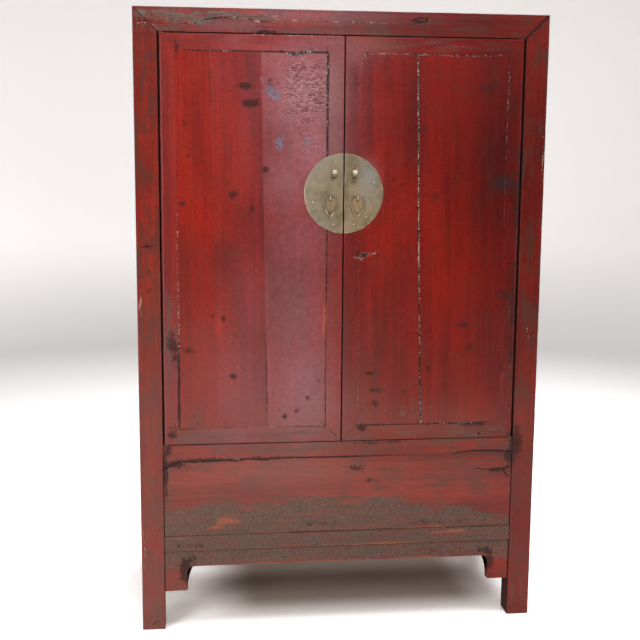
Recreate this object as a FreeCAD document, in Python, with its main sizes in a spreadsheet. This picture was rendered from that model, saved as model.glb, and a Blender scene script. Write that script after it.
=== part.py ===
import FreeCAD, Part

import os
import re

# A tall two-door cabinet of lacquered softwood. It faces -Y, stands on z = 0, and its middle is at x = 0.
# Four square posts meet the top rails in three-way mitres. Plain rails, tenoned into the posts, hold
# panels that float in grooves. The doors turn on wooden pins, and a chest hides under lift-out boards.

# Driving sizes, in millimetres.
SIZES = {
    # whole cabinet
    "cabinet_width": 1165,
    "cabinet_depth": 570,
    "cabinet_height": 1780,
    "foot_height": 189,
    "apron_height": 48,
    "belly_height": 227,
    # posts and top rails, sawn from one square timber
    "timber": 66,
    "peg_side": 20,
    "peg_inset": 32,
    "peg_cover": 16,
    # plain rails with their tenons
    "rail_height": 46,
    "rail_depth": 44,
    "tenon_length": 28,
    "tenon_thickness": 14,
    "tenon_shoulder": 6,
    "tenon_margin": 4,
    "tenon_play": 1,
    "joint_clearance": 0.2,
    # panels in their grooves
    "panel_thickness": 12,
    "panel_setback": 4,
    "groove_depth": 9,
    "panel_play": 1.5,
    "board_seam": 0.4,
    "top_panel_thickness": 14,
    "top_panel_setback": 4,
    # battens across the insides of the panels
    "top_batten_width": 40,
    "top_batten_height": 24,
    "side_batten_height": 36,
    "side_batten_thickness": 18,
    # apron under the front, sawn from one board with its spandrels
    "apron_thickness": 20,
    "apron_setback": 3,
    "apron_tongue": 8,
    "spandrel_width": 67,
    "spandrel_drop": 73.5,
    "spandrel_arc": 21,
    "spandrel_corner": 6,
    # chest below the doors
    "bottom_board_thickness": 14,
    "bottom_board_rise": 16,
    "lid_thickness": 16,
    "lid_clearance": 1,
    "ledge_width": 22,
    "ledge_height": 20,
    # shelf
    "shelf_rise": 594,
    "shelf_thickness": 20,
    "shelf_setback": 50,
    "bearer_width": 30,
    "bearer_height": 30,
    # doors
    "door_setback": 1,
    "door_thickness": 26,
    "door_gap": 2,
    "hinge_gap": 1.5,
    "meeting_gap": 3,
    "stile_width": 46,
    "door_rail_height": 46,
    "pivot_radius": 8,
    "pivot_inset": 9,
    "pivot_length": 18,
    "pivot_clearance": 0.08,
    "pivot_end_play": 0.5,
    "door_tenon_length": 26,
    "door_tenon_thickness": 8,
    "door_tenon_shoulder": 8,
    "door_panel_thickness": 16,
    "door_panel_lip": 8,
    "door_tongue_thickness": 6,
    "door_groove_depth": 7,
    "door_batten_height": 40,
    "door_batten_thickness": 18,
    "stop_width": 16,
    "stop_height": 15,
    "stop_clearance": 0.5,
    # round brass plate in two halves, with its nails
    "plate_radius": 112.5,
    "plate_thickness": 1.5,
    "plate_gap": 4,
    "plate_level": 1278,
    "nail_circle_radius": 91.6,
    "nail_head_radius": 2.2,
    "nail_head_height": 1,
    "nail_radius": 1.1,
    "nail_length": 12,
    "metal_clearance": 0.15,
    # strap loops that a lock bar goes through
    "loop_radius": 12.5,
    "loop_strap": 3,
    "loop_width": 12,
    "loop_offset": 29,
    "loop_rise": 56,
    "loop_gap": 1,
    "tail_length": 15,
    # eye pins and the leaf pulls that hang on them
    "eye_radius": 5.5,
    "eye_wire_radius": 1.5,
    "eye_shank_radius": 2,
    "eye_offset": 38.8,
    "eye_drop": 11.5,
    "eye_gap": 1,
    "leaf_width": 36,
    "leaf_point": 36,
    "leaf_thickness": 1.6,
    "leaf_hole_radius": 3,
    "leaf_hole_drop": 6.5,
    "leaf_seat": 0.3,
    "leaf_border": 6,
    "leaf_raise": 0.8,
    # how far a cutting shape runs past what it cuts
    "overrun": 2,
}

# Places of repeated pieces, as shares of the length that carries them.
TOP_BATTEN_SHARES = (-0.2, 0.2)
SIDE_BATTEN_SHARES = (0.2, 0.75)
DOOR_BATTEN_SHARES = (0.12, 0.5, 0.88)
STOP_REACH_SHARE = 0.7
BOARD_JOINT_SHARES = {"left": (0.226, 0.578), "right": (0.581,)}

# Directions of the plate's nails from its centre, in degrees above the horizontal, away from the middle.
NAIL_ANGLES = {"left": (75, 20, -15.5, -72), "right": (71.6, 20, -44.6, -71)}

# Lines of the cabinet, worked out from the driving sizes.
LOOP_REACH = "(2 * loop_radius + loop_gap + plate_thickness - door_setback)"
FRONT = f"(({LOOP_REACH} - cabinet_depth) / 2)"
BACK = f"({FRONT} + cabinet_depth)"
APRON_BOTTOM = "foot_height"
RAIL_BOTTOM = "(foot_height + apron_height)"
RAIL_TOP = f"({RAIL_BOTTOM} + rail_height)"
SILL_BOTTOM = f"({RAIL_TOP} + belly_height)"
SILL_TOP = f"({SILL_BOTTOM} + rail_height)"
LINTEL = "(cabinet_height - timber)"
PANEL_BACK = "(panel_setback + panel_thickness)"
PANEL_REACH = "(groove_depth - panel_play)"
TENON_NEAR = f"({PANEL_BACK} + tenon_margin)"
TENON_FAR = f"({TENON_NEAR} + tenon_thickness)"
TOP_PANEL_TOP = "(cabinet_height - top_panel_setback)"
TOP_PANEL_BOTTOM = f"({TOP_PANEL_TOP} - top_panel_thickness)"
BOTTOM_BOARD_LOW = f"({RAIL_BOTTOM} + bottom_board_rise)"
LID_BOTTOM = f"({SILL_TOP} - lid_thickness)"
SHELF_BOTTOM = f"({SILL_TOP} + shelf_rise)"
POST_INNER = "(cabinet_width / 2 - timber)"

# Lines of a door. Distances across it are counted from the middle of the cabinet.
DOOR_NEAR = "(meeting_gap / 2)"
DOOR_FAR = f"({POST_INNER} - hinge_gap)"
DOOR_FACE = f"({FRONT} + door_setback)"
DOOR_BACK = f"({DOOR_FACE} + door_thickness)"
DOOR_BOTTOM = f"({SILL_TOP} + door_gap)"
DOOR_TOP = f"({LINTEL} - door_gap)"
DOOR_HEIGHT = f"({DOOR_TOP} - {DOOR_BOTTOM})"
PANEL_NEAR = f"({DOOR_NEAR} + stile_width)"
PANEL_FAR = f"({DOOR_FAR} - stile_width)"
PIVOT_X = f"({DOOR_FAR} - pivot_inset)"
PIVOT_Y = f"({DOOR_FACE} + pivot_inset)"
DOOR_TENON_LOW = f"({DOOR_FACE} + (door_thickness - door_tenon_thickness) / 2)"
DOOR_TENON_HIGH = f"({DOOR_TENON_LOW} + door_tenon_thickness)"
TONGUE_LOW = f"({DOOR_FACE} + door_panel_lip)"
TONGUE_HIGH = f"({TONGUE_LOW} + door_tongue_thickness)"
TONGUE_REACH = "(door_groove_depth - panel_play)"
PANEL_REAR = f"({DOOR_FACE} + door_panel_thickness)"

# Lines of the brass.
PLATE_FACE = f"({DOOR_FACE} - plate_thickness)"
LOOP_Y = f"({PLATE_FACE} - loop_gap - loop_radius)"
LOOP_Z = "(plate_level + loop_rise)"
EYE_Y = f"({PLATE_FACE} - eye_gap - eye_wire_radius - eye_radius)"
EYE_Z = "(plate_level - eye_drop)"
LEAF_HOLE_Z = f"({EYE_Z} - eye_radius - leaf_hole_radius + eye_wire_radius + leaf_seat)"
LEAF_MIDDLE_Z = f"({LEAF_HOLE_Z} + leaf_hole_drop - leaf_width / 2)"

X = FreeCAD.Vector(1, 0, 0)
Y = FreeCAD.Vector(0, 1, 0)
Z = FreeCAD.Vector(0, 0, 1)

# Each outer face of the cabinet, with its place and the direction that leads inside from it.
OUTER = {
    "left": "(-cabinet_width / 2)",
    "right": "(cabinet_width / 2)",
    "front": FRONT,
    "back": BACK,
    "top": "cabinet_height",
}
INWARD = {"left": X, "right": -X, "front": Y, "back": -Y, "top": -Z}
SIDES = ("left", "right")
ENDS = ("front", "back")

doc = FreeCAD.newDocument("cabinet")
sheet = doc.addObject("Spreadsheet::Sheet", "sizes")
for row, (size_name, number) in enumerate(SIZES.items(), start=1):
    sheet.set(f"A{row}", size_name)
    sheet.set(f"B{row}", str(number))
    sheet.setAlias(f"B{row}", size_name)
doc.recompute()

pieces = []


def on_sheet(formula):
    """The formula with each size name turned into the alias of its cell."""
    return re.sub(r"[a-z]\w*", lambda word: f"sizes.{word[0]}" if word[0] in SIZES else word[0], formula)


def bind(shape, formulas):
    """Ties each named property of a shape to its formula."""
    for name, formula in formulas.items():
        shape.setExpression(name, on_sheet(formula))


def keep(piece, name):
    """Marks a finished piece of the cabinet, under its own name."""
    piece.Label = name
    pieces.append(piece)
    return piece


def block(x, y, z):
    """A square block between a low and a high place along each axis."""
    box = doc.addObject("Part::Box", "block")
    for side, axis, (low, high) in zip(("Length", "Width", "Height"), "xyz", (x, y, z)):
        bind(box, {side: f"({high}) - ({low})", f"Placement.Base.{axis}": low})
    return box


def rod(start, direction, radius, length):
    """A round rod from the centre of its first end, in the given direction."""
    cylinder = doc.addObject("Part::Cylinder", "rod")
    cylinder.Placement.Rotation = FreeCAD.Rotation(Z, direction)
    places = {f"Placement.Base.{axis}": place for axis, place in zip("xyz", start)}
    bind(cylinder, {"Radius": radius, "Height": length, **places})
    return cylinder


def taper(start, along, across, length, base, tip):
    """A block that narrows from its base to its tip, which keep one edge in line.

    The base begins at the start. Its two sizes, like the tip's, are counted first in the direction
    across and then in the third direction, which is across turned into along.
    """
    wedge = doc.addObject("Part::Wedge", "taper")
    wedge.Placement.Rotation = FreeCAD.Rotation(across, along, across.cross(along), "XYZ")
    wedge.X2min = 0
    wedge.Z2min = 0
    places = {f"Placement.Base.{axis}": place for axis, place in zip("xyz", start)}
    ends = {"Xmax": base[0], "Zmax": base[1], "X2max": tip[0], "Z2max": tip[1]}
    bind(wedge, {"Ymax": length, **ends, **places})
    return wedge


def fuse(*shapes):
    """One solid of several shapes that touch or overlap."""
    if len(shapes) == 1:
        return shapes[0]
    union = doc.addObject("Part::MultiFuse", "union")
    union.Shapes = list(shapes)
    union.Refine = True
    return union


def cut(base, *tools):
    """The base with every tool taken away from it."""
    result = doc.addObject("Part::Cut", "cut")
    result.Base = base
    result.Tool = fuse(*tools)
    result.Refine = True
    return result


def common(*shapes):
    """What all the shapes share."""
    result = doc.addObject("Part::MultiCommon", "common")
    result.Shapes = list(shapes)
    result.Refine = True
    return result


def group(*shapes):
    """Separate solids that are kept as one piece."""
    compound = doc.addObject("Part::Compound", "group")
    compound.Links = list(shapes)
    return compound


def grown(pair, amount):
    """A low and a high place moved apart by an amount at each end."""
    low, high = pair
    return f"{low} - ({amount})", f"{high} + ({amount})"


def inside(face, near, far):
    """The stretch that lies from near to far inside an outer face, as its low and high place."""
    direction = INWARD[face]
    if direction.x + direction.y + direction.z > 0:
        return f"{OUTER[face]} + {near}", f"{OUTER[face]} + {far}"
    return f"{OUTER[face]} - {far}", f"{OUTER[face]} - {near}"


def between(first, second, depth):
    """The stretch between two opposite outer faces, from the given depth inside each."""
    return f"{OUTER[first]} + {depth}", f"{OUTER[second]} - {depth}"


def across(side, near, far):
    """The stretch on one side of the middle, from near to far away from it."""
    if side == "left":
        return f"-({far})", f"-({near})"
    return f"{near}", f"{far}"


def offset(side, distance):
    """The place on one side of the middle, at a distance from it."""
    return f"-({distance})" if side == "left" else f"{distance}"


def wall_block(face, reach, near, far, z):
    """A block in one wall. It runs from post to post and reaches into both of them by reach."""
    layer = inside(face, near, far)
    if face in ENDS:
        return block(grown(between("left", "right", "timber"), reach), layer, z)
    return block(layer, grown(between("front", "back", "timber"), reach), z)


def neighbours(face):
    """The two faces at the ends of a wall."""
    return SIDES if face in ENDS else ENDS


# Grooves and panels. Each wall has a lower panel, and all but the front have an upper one too.
panel_levels = {"lower": (RAIL_TOP, SILL_BOTTOM), "upper": (SILL_TOP, LINTEL)}
walls = {
    "front": ("lower",),
    "back": ("lower", "upper"),
    "left": ("lower", "upper"),
    "right": ("lower", "upper"),
}
rail_levels = {"bottom": (RAIL_BOTTOM, RAIL_TOP), "middle": (SILL_BOTTOM, SILL_TOP)}


def panel_groove(face, level):
    """The groove round one panel, as deep in the posts as in the rails."""
    near = "(panel_setback - joint_clearance)"
    far = f"({PANEL_BACK} + joint_clearance)"
    return wall_block(face, "groove_depth", near, far, grown(panel_levels[level], "groove_depth"))


def rail_mortise(face, level):
    """The mortises at both ends of one rail."""
    low, high = rail_levels[level]
    height = (f"{low} + tenon_shoulder - joint_clearance", f"{high} - tenon_shoulder + joint_clearance")
    near = f"({TENON_NEAR} - joint_clearance)"
    far = f"({TENON_FAR} + joint_clearance)"
    return wall_block(face, "(tenon_length + tenon_play)", near, far, height)


def split(board, x, y, z, axis, shares):
    """A wide board cut into narrower ones along lines across an axis, at shares of its width."""
    low, high = {"x": x, "y": y}[axis]
    seams = []
    for share in shares:
        middle = f"({low} + (({high}) - ({low})) * {share})"
        seam = (f"{middle} - board_seam / 2", f"{middle} + board_seam / 2")
        wide = grown(y if axis == "x" else x, "overrun")
        high_cut = grown(z, "overrun")
        seams.append(block(seam, wide, high_cut) if axis == "x" else block(wide, seam, high_cut))
    return cut(board, *seams)


grooves = {(face, level): panel_groove(face, level) for face, levels in walls.items() for level in levels}
mortises = {(face, level): rail_mortise(face, level) for face in walls for level in rail_levels}

top_run_x = between("left", "right", "timber")
top_run_y = between("front", "back", "timber")
top_groove = block(
    grown(top_run_x, "groove_depth"),
    grown(top_run_y, "groove_depth"),
    (f"{TOP_PANEL_BOTTOM} - joint_clearance", f"{TOP_PANEL_TOP} + joint_clearance"),
)

# Three-way mitre. In the cube where a post meets two top rails, each of the three ends in a pyramid
# with its tip at the cabinet's outer corner. A square peg on the post goes up into both rails.


def mitre_end(corner, own):
    """The pyramid that ends the piece which runs inwards from the face own, at one corner."""
    along = -INWARD[own]
    others = [INWARD[face] for face in corner if face != own]
    if others[0].cross(along) != others[1]:
        others.reverse()
    start = []
    for face in corner:
        start.append(inside(face, "timber", "timber")[0] if face == own else OUTER[face])
    return taper(start, along, others[0], "timber", ("timber", "timber"), ("0", "0"))


def peg(corner, clearance):
    """The peg of one corner, grown by a clearance."""
    near = f"(peg_inset - {clearance})"
    far = f"(peg_inset + peg_side + {clearance})"
    height = (f"{LINTEL} - {clearance}", f"cabinet_height - peg_cover + {clearance}")
    return block(inside(corner[0], near, far), inside(corner[1], near, far), height)


corners = [(side, end, "top") for side in SIDES for end in ENDS]
peg_holes = {corner: peg(corner, "joint_clearance") for corner in corners}


def post(corner):
    """A post from the floor to the top corner, with the grooves and mortises of its two walls."""
    side, end, _ = corner
    shaft = block(inside(side, "0", "timber"), inside(end, "0", "timber"), ("0", LINTEL))
    solid = fuse(shaft, mitre_end(corner, "top"), peg(corner, "0"))
    tools = [groove for (face, _), groove in grooves.items() if face in corner]
    tools += [mortise for (face, _), mortise in mortises.items() if face in corner]
    return keep(cut(solid, *tools), f"post_{end}_{side}")


for corner in corners:
    post(corner)

# Sockets of the door pins, in the top rail and in the rail under the doors.


def pivot_socket(side, low, high):
    """The round socket of one pin, between two heights."""
    start = (offset(side, PIVOT_X), PIVOT_Y, low)
    return rod(start, Z, "pivot_radius + pivot_clearance", f"({high}) - ({low})")


PIN_TOP = f"{DOOR_TOP} + pivot_length + pivot_end_play"
PIN_FOOT = f"{DOOR_BOTTOM} - pivot_length - pivot_end_play"
top_sockets = [pivot_socket(side, f"{LINTEL} - overrun", PIN_TOP) for side in SIDES]
sill_sockets = [pivot_socket(side, PIN_FOOT, f"{SILL_TOP} + overrun") for side in SIDES]


def top_rail(face):
    """A top rail with its two mitred ends and the groove of the top panel."""
    body = wall_block(face, "0", "0", "timber", (LINTEL, "cabinet_height"))
    ends = [(end, face, "top") if face in ENDS else (face, end, "top") for end in neighbours(face)]
    solid = fuse(body, *[mitre_end(corner, end) for corner, end in zip(ends, neighbours(face))])
    tools = [top_groove] + [peg_holes[corner] for corner in ends]
    tools += [grooves[face, "upper"]] if (face, "upper") in grooves else top_sockets
    return keep(cut(solid, *tools), f"top_rail_{face}")


for face in walls:
    top_rail(face)

# Tongue along the apron's top edge, which fits a groove under the bottom rail.


def apron_tongue(clearance):
    """The apron's tongue, grown by a clearance."""
    near = f"(apron_setback + (apron_thickness - apron_tongue) / 2 - {clearance})"
    far = f"(apron_setback + (apron_thickness + apron_tongue) / 2 + {clearance})"
    height = (f"{RAIL_BOTTOM} - overrun", f"{RAIL_BOTTOM} + apron_tongue + {clearance}")
    return wall_block("front", "0", near, far, height)


bottom_run_x = between("left", "right", "rail_depth")
bottom_run_y = between("front", "back", "rail_depth")
bottom_z = (BOTTOM_BOARD_LOW, f"{BOTTOM_BOARD_LOW} + bottom_board_thickness")
bottom_groove = block(
    grown(bottom_run_x, "groove_depth"),
    grown(bottom_run_y, "groove_depth"),
    grown(bottom_z, "joint_clearance"),
)


def rail(face, level):
    """A rail between two posts, with a tenon at each end and the grooves of its panels."""
    low, high = rail_levels[level]
    body = wall_block(face, "0", "0", "rail_depth", (low, high))
    tenon_z = (f"{low} + tenon_shoulder", f"{high} - tenon_shoulder")
    tenons = wall_block(face, "tenon_length", TENON_NEAR, TENON_FAR, tenon_z)
    tools = [grooves[face, "lower"]]
    if level == "bottom":
        tools.append(bottom_groove)
        tools += [apron_tongue("joint_clearance")] if face == "front" else []
    else:
        tools += [grooves[face, "upper"]] if (face, "upper") in grooves else sill_sockets
    return keep(cut(fuse(body, tenons), *tools), f"{level}_rail_{face}")


for face in walls:
    for level in rail_levels:
        rail(face, level)

# Panels. The belly panel and the lower side panels are one board each, the others several.


def panel(face, level, joint_shares):
    """A panel that reaches into its grooves all round, of one or more boards."""
    reach = PANEL_REACH
    z = grown(panel_levels[level], reach)
    solid = wall_block(face, reach, "panel_setback", PANEL_BACK, z)
    if joint_shares:
        layer = inside(face, "0", "timber")
        x = grown(top_run_x, reach) if face in ENDS else layer
        y = grown(top_run_y, reach) if face in SIDES else layer
        solid = split(solid, x, y, z, "x" if face in ENDS else "y", joint_shares)
    return keep(solid, "belly_panel" if face == "front" else f"{level}_panel_{face}")


PANEL_JOINT_SHARES = {
    ("front", "lower"): (),
    ("back", "lower"): (0.36, 0.7),
    ("back", "upper"): (0.21, 0.44, 0.63, 0.82),
    ("left", "lower"): (),
    ("left", "upper"): (0.55,),
    ("right", "lower"): (),
    ("right", "upper"): (0.47,),
}
for (face, level), joint_shares in PANEL_JOINT_SHARES.items():
    panel(face, level, joint_shares)

TOP_JOINT_SHARES = (0.34, 0.69)
top_x = grown(top_run_x, PANEL_REACH)
top_y = grown(top_run_y, PANEL_REACH)
top_z = (TOP_PANEL_BOTTOM, TOP_PANEL_TOP)
keep(split(block(top_x, top_y, top_z), top_x, top_y, top_z, "y", TOP_JOINT_SHARES), "top_panel")

# Battens. They cross the boards on the inside and end against the frame.
top_batten_z = (f"{TOP_PANEL_BOTTOM} - top_batten_height", TOP_PANEL_BOTTOM)
top_battens = []
for share in TOP_BATTEN_SHARES:
    middle = f"(cabinet_width * {share})"
    batten_x = (f"{middle} - top_batten_width / 2", f"{middle} + top_batten_width / 2")
    top_battens.append(block(batten_x, top_run_y, top_batten_z))
keep(group(*top_battens), "top_battens")

side_battens = []
for side in SIDES:
    for share in SIDE_BATTEN_SHARES:
        low = f"({SILL_TOP} + ({LINTEL} - {SILL_TOP}) * {share})"
        batten_x = inside(side, PANEL_BACK, f"({PANEL_BACK} + side_batten_thickness)")
        side_battens.append(block(batten_x, top_run_y, (low, f"{low} + side_batten_height")))
keep(group(*side_battens), "side_battens")

# Apron. The space between its two spandrels has round upper corners.


def apron():
    """The front apron with a spandrel at each end, all one board."""
    layer = ("apron_setback", "(apron_setback + apron_thickness)")
    board = wall_block("front", "0", *layer, (f"{APRON_BOTTOM} - spandrel_drop", RAIL_BOTTOM))
    y = grown(inside("front", *layer), "overrun")
    start_y = f"{y[1]}"
    depth = f"({y[1]}) - ({y[0]})"
    gap = f"({POST_INNER} - spandrel_width)"
    low = f"{APRON_BOTTOM} - spandrel_drop"
    below = f"{low} - overrun"
    tools = [
        block(grown(("0", "0"), gap), y, (below, f"{APRON_BOTTOM} - spandrel_arc")),
        block(grown(("0", "0"), f"({gap} - spandrel_arc)"), y, (below, APRON_BOTTOM)),
    ]
    for side in SIDES:
        centre = (offset(side, f"({gap} - spandrel_arc)"), start_y, f"{APRON_BOTTOM} - spandrel_arc")
        tools.append(rod(centre, -Y, "spandrel_arc", depth))
        corner_x = f"({gap} + spandrel_corner)"
        corner_z = f"{low} + spandrel_corner"
        square = block(across(side, gap, corner_x), y, (below, corner_z))
        rounding = rod((offset(side, corner_x), start_y, corner_z), -Y, "spandrel_corner", depth)
        tools.append(cut(square, rounding))
    return keep(cut(fuse(board, apron_tongue("0")), *tools), "apron_front")


apron()

# Hidden chest: bottom boards in grooves, two lift-out lid boards on ledges.


def post_notches(clearance, z):
    """The four corners that boards leave free for the posts."""
    span = ("0", f"(timber + {clearance})")
    height = grown(z, "overrun")
    return [block(inside(side, *span), inside(end, *span), height) for side in SIDES for end in ENDS]


BOTTOM_JOINT_SHARES = (0.33, 0.66)
bottom_x = grown(bottom_run_x, PANEL_REACH)
bottom_y = grown(bottom_run_y, PANEL_REACH)
bottom_sheet = cut(block(bottom_x, bottom_y, bottom_z), *post_notches("joint_clearance", bottom_z))
keep(split(bottom_sheet, bottom_x, bottom_y, bottom_z, "y", BOTTOM_JOINT_SHARES), "bottom_boards")

lid_z = (LID_BOTTOM, SILL_TOP)
lid_y = between("front", "back", "(rail_depth + lid_clearance)")
lid_notches = post_notches("lid_clearance", lid_z)
for side in SIDES:
    lid_x = across(side, "(lid_clearance / 2)", "(cabinet_width / 2 - rail_depth - lid_clearance)")
    keep(cut(block(lid_x, lid_y, lid_z), *lid_notches), f"lid_board_{side}")

ledge_z = (f"{LID_BOTTOM} - ledge_height", LID_BOTTOM)
ledges = [wall_block(end, "0", "rail_depth", "(rail_depth + ledge_width)", ledge_z) for end in ENDS]
keep(group(*ledges), "lid_ledges")

# Shelf on a bearer at each side.
shelf_z = (SHELF_BOTTOM, f"{SHELF_BOTTOM} + shelf_thickness")
shelf_x = between("left", "right", f"({PANEL_BACK} + lid_clearance)")
shelf_y = (f"{FRONT} + shelf_setback", f"{BACK} - {PANEL_BACK} - lid_clearance")
keep(cut(block(shelf_x, shelf_y, shelf_z), *post_notches("lid_clearance", shelf_z)), "shelf")
bearer_z = (f"{SHELF_BOTTOM} - bearer_height", SHELF_BOTTOM)
bearers = [wall_block(side, "0", PANEL_BACK, f"({PANEL_BACK} + bearer_width)", bearer_z) for side in SIDES]
keep(group(*bearers), "shelf_bearers")

# Strips that the closed doors rest against, above and below.
stop_x = grown(("0", "0"), f"({DOOR_FAR} * {STOP_REACH_SHARE})")
stop_low = f"({DOOR_BACK} + stop_clearance)"
stop_y = (stop_low, f"{stop_low} + stop_width")
stops = [
    block(stop_x, stop_y, (SILL_TOP, f"{SILL_TOP} + stop_height")),
    block(stop_x, stop_y, (f"{LINTEL} - stop_height", LINTEL)),
]
keep(group(*stops), "door_stops")

# Doors. The hinge stile runs the whole height, and the meeting stile is mitred with both rails.
door_y = (DOOR_FACE, DOOR_BACK)
door_rail_levels = {
    "top": (f"{DOOR_TOP} - door_rail_height", DOOR_TOP),
    "bottom": (DOOR_BOTTOM, f"{DOOR_BOTTOM} + door_rail_height"),
}
panel_z = (f"({DOOR_BOTTOM} + door_rail_height)", f"({DOOR_TOP} - door_rail_height)")


def toward_middle(side):
    """The direction from a door's hinge to the middle of the cabinet."""
    return X if side == "left" else -X


def mitred_end(side, level, own):
    """The triangular end of a door rail, or of the meeting stile where own is stile, at one corner."""
    upward = Z if level == "top" else -Z
    low, high = door_rail_levels[level]
    outer_z, inner_z = (high, low) if level == "top" else (low, high)
    if own == "rail":
        along, sideways = toward_middle(side), -upward
        start_x, start_z = PANEL_NEAR, outer_z
        length, width = "stile_width", "door_rail_height"
    else:
        along, sideways = upward, -toward_middle(side)
        start_x, start_z = DOOR_NEAR, inner_z
        length, width = "door_rail_height", "stile_width"
    start_y = DOOR_FACE if sideways.cross(along).y > 0 else DOOR_BACK
    start = (offset(side, start_x), start_y, start_z)
    return taper(start, along, sideways, length, (width, "door_thickness"), ("0", "door_thickness"))


def door_tenon(side, level, clearance, play):
    """The bar through a door rail whose ends are its tenons, grown by a clearance and longer by a play."""
    low, high = door_rail_levels[level]
    x = across(
        side,
        f"({DOOR_NEAR} + door_tenon_shoulder - {play})",
        f"({PANEL_FAR} + door_tenon_length + {play})",
    )
    z = (f"{low} + door_tenon_shoulder - {clearance}", f"{high} - door_tenon_shoulder + {clearance}")
    return block(x, grown((DOOR_TENON_LOW, DOOR_TENON_HIGH), clearance), z)


def tongue_groove(side):
    """The groove round a door's boards."""
    x = across(side, f"({PANEL_NEAR} - door_groove_depth)", f"({PANEL_FAR} + door_groove_depth)")
    y = grown((TONGUE_LOW, TONGUE_HIGH), "joint_clearance")
    return block(x, y, grown(panel_z, "door_groove_depth"))


def nail_place(side, angle):
    """The centre of one nail on the plate's face, as x and z."""
    x = offset(side, f"(nail_circle_radius * cos({angle}))")
    return x, f"plate_level + nail_circle_radius * sin({angle})"


def shank_block(side, clearance):
    """The folded shank of a loop, from the ring's back to behind the door, grown by a clearance."""
    x = grown((offset(side, "loop_offset"), offset(side, "loop_offset")), f"(loop_width / 2 + {clearance})")
    y = (f"{LOOP_Y} + loop_radius - loop_strap / 2", f"{DOOR_BACK} + loop_strap")
    z = grown((LOOP_Z, LOOP_Z), f"(loop_strap + {clearance})")
    return block(x, y, z)


def eye_shank(side, clearance):
    """The round shank of an eye pin, from behind the door to the eye, grown by a clearance."""
    start = (offset(side, "eye_offset"), f"{DOOR_BACK} + 2 * eye_wire_radius", EYE_Z)
    length = f"{DOOR_BACK} + 2 * eye_wire_radius - {EYE_Y} - eye_radius"
    return rod(start, -Y, f"eye_shank_radius + {clearance}", length)


def nail_shank(side, angle, clearance):
    """The shank of one nail in the wood and the plate, grown by a clearance."""
    x, z = nail_place(side, angle)
    start = (x, f"{DOOR_FACE} + nail_length + {clearance}", z)
    return rod(start, -Y, f"nail_radius + {clearance}", f"nail_length + plate_thickness + {clearance}")


def brass_holes(side):
    """Every hole that the brass needs in one door and its plate."""
    nails = [nail_shank(side, angle, "metal_clearance") for angle in NAIL_ANGLES[side]]
    return fuse(shank_block(side, "metal_clearance"), eye_shank(side, "metal_clearance"), *nails)


def hinge_stile(side, groove, tenon_holes):
    """The stile that turns in the frame. Its front edge is round about the pins."""
    z = (DOOR_BOTTOM, DOOR_TOP)
    front_part = block(across(side, PANEL_FAR, PIVOT_X), door_y, z)
    rear_part = block(across(side, PIVOT_X, DOOR_FAR), (PIVOT_Y, DOOR_BACK), z)
    quarter = rod((offset(side, PIVOT_X), PIVOT_Y, DOOR_BOTTOM), Z, "pivot_inset", DOOR_HEIGHT)
    quarter.Angle = 90
    quarter.Placement.Rotation = FreeCAD.Rotation(Z, 180 if side == "left" else 270)
    pin_start = (offset(side, PIVOT_X), PIVOT_Y, f"{DOOR_BOTTOM} - pivot_length")
    pins = rod(pin_start, Z, "pivot_radius", f"{DOOR_HEIGHT} + 2 * pivot_length")
    solid = fuse(front_part, rear_part, quarter, pins)
    return keep(cut(solid, groove, *tenon_holes), f"hinge_stile_{side}")


def meeting_stile(side, groove, tenon_holes, holes):
    """The stile at the middle, with a mitre at each end."""
    body = block(across(side, DOOR_NEAR, PANEL_NEAR), door_y, panel_z)
    ends = [mitred_end(side, level, "stile") for level in door_rail_levels]
    return keep(cut(fuse(body, *ends), groove, holes, *tenon_holes), f"meeting_stile_{side}")


def door_rail(side, level, groove):
    """A rail of a door, with a mitre where it meets the meeting stile."""
    body = block(across(side, PANEL_NEAR, PANEL_FAR), door_y, door_rail_levels[level])
    solid = fuse(body, mitred_end(side, level, "rail"), door_tenon(side, level, "0", "0"))
    return keep(cut(solid, groove), f"door_{level}_rail_{side}")


def door_boards(side, holes):
    """The boards of a door, flush with its frame, from the hinge to the middle."""
    breadth = f"({PANEL_FAR} - {PANEL_NEAR})"
    places = [f"({PANEL_FAR} - {breadth} * {share})" for share in BOARD_JOINT_SHARES[side]]
    fars = [f"({PANEL_FAR} - board_seam / 2)"] + [f"({place} - board_seam / 2)" for place in places]
    nears = [f"({place} + board_seam / 2)" for place in places] + [f"({PANEL_NEAR} + board_seam / 2)"]
    for number, (near, far) in enumerate(zip(nears, fars), start=1):
        first, last = number == 1, number == len(nears)
        tongue_far = f"({PANEL_FAR} + {TONGUE_REACH})" if first else far
        tongue_near = f"({PANEL_NEAR} - {TONGUE_REACH})" if last else near
        tongue_x = across(side, tongue_near, tongue_far)
        face = block(across(side, near, far), (DOOR_FACE, PANEL_REAR), grown(panel_z, "(-board_seam / 2)"))
        tongue = block(tongue_x, (TONGUE_LOW, TONGUE_HIGH), grown(panel_z, TONGUE_REACH))
        board = fuse(face, tongue)
        keep(cut(board, holes) if last else board, f"door_board_{side}_{number}")


def door_battens(side):
    """The battens across the back of a door's boards."""
    x = across(side, f"({PANEL_NEAR} + joint_clearance)", f"({PANEL_FAR} - joint_clearance)")
    y = (PANEL_REAR, f"{PANEL_REAR} + door_batten_thickness")
    bars = []
    for share in DOOR_BATTEN_SHARES:
        middle = f"({DOOR_BOTTOM} + {DOOR_HEIGHT} * {share})"
        bars.append(block(x, y, grown((middle, middle), "(door_batten_height / 2)")))
    return keep(group(*bars), f"door_battens_{side}")


# Brass. Every shank goes through plate and stile, and its two tails are bent over behind the door.


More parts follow.
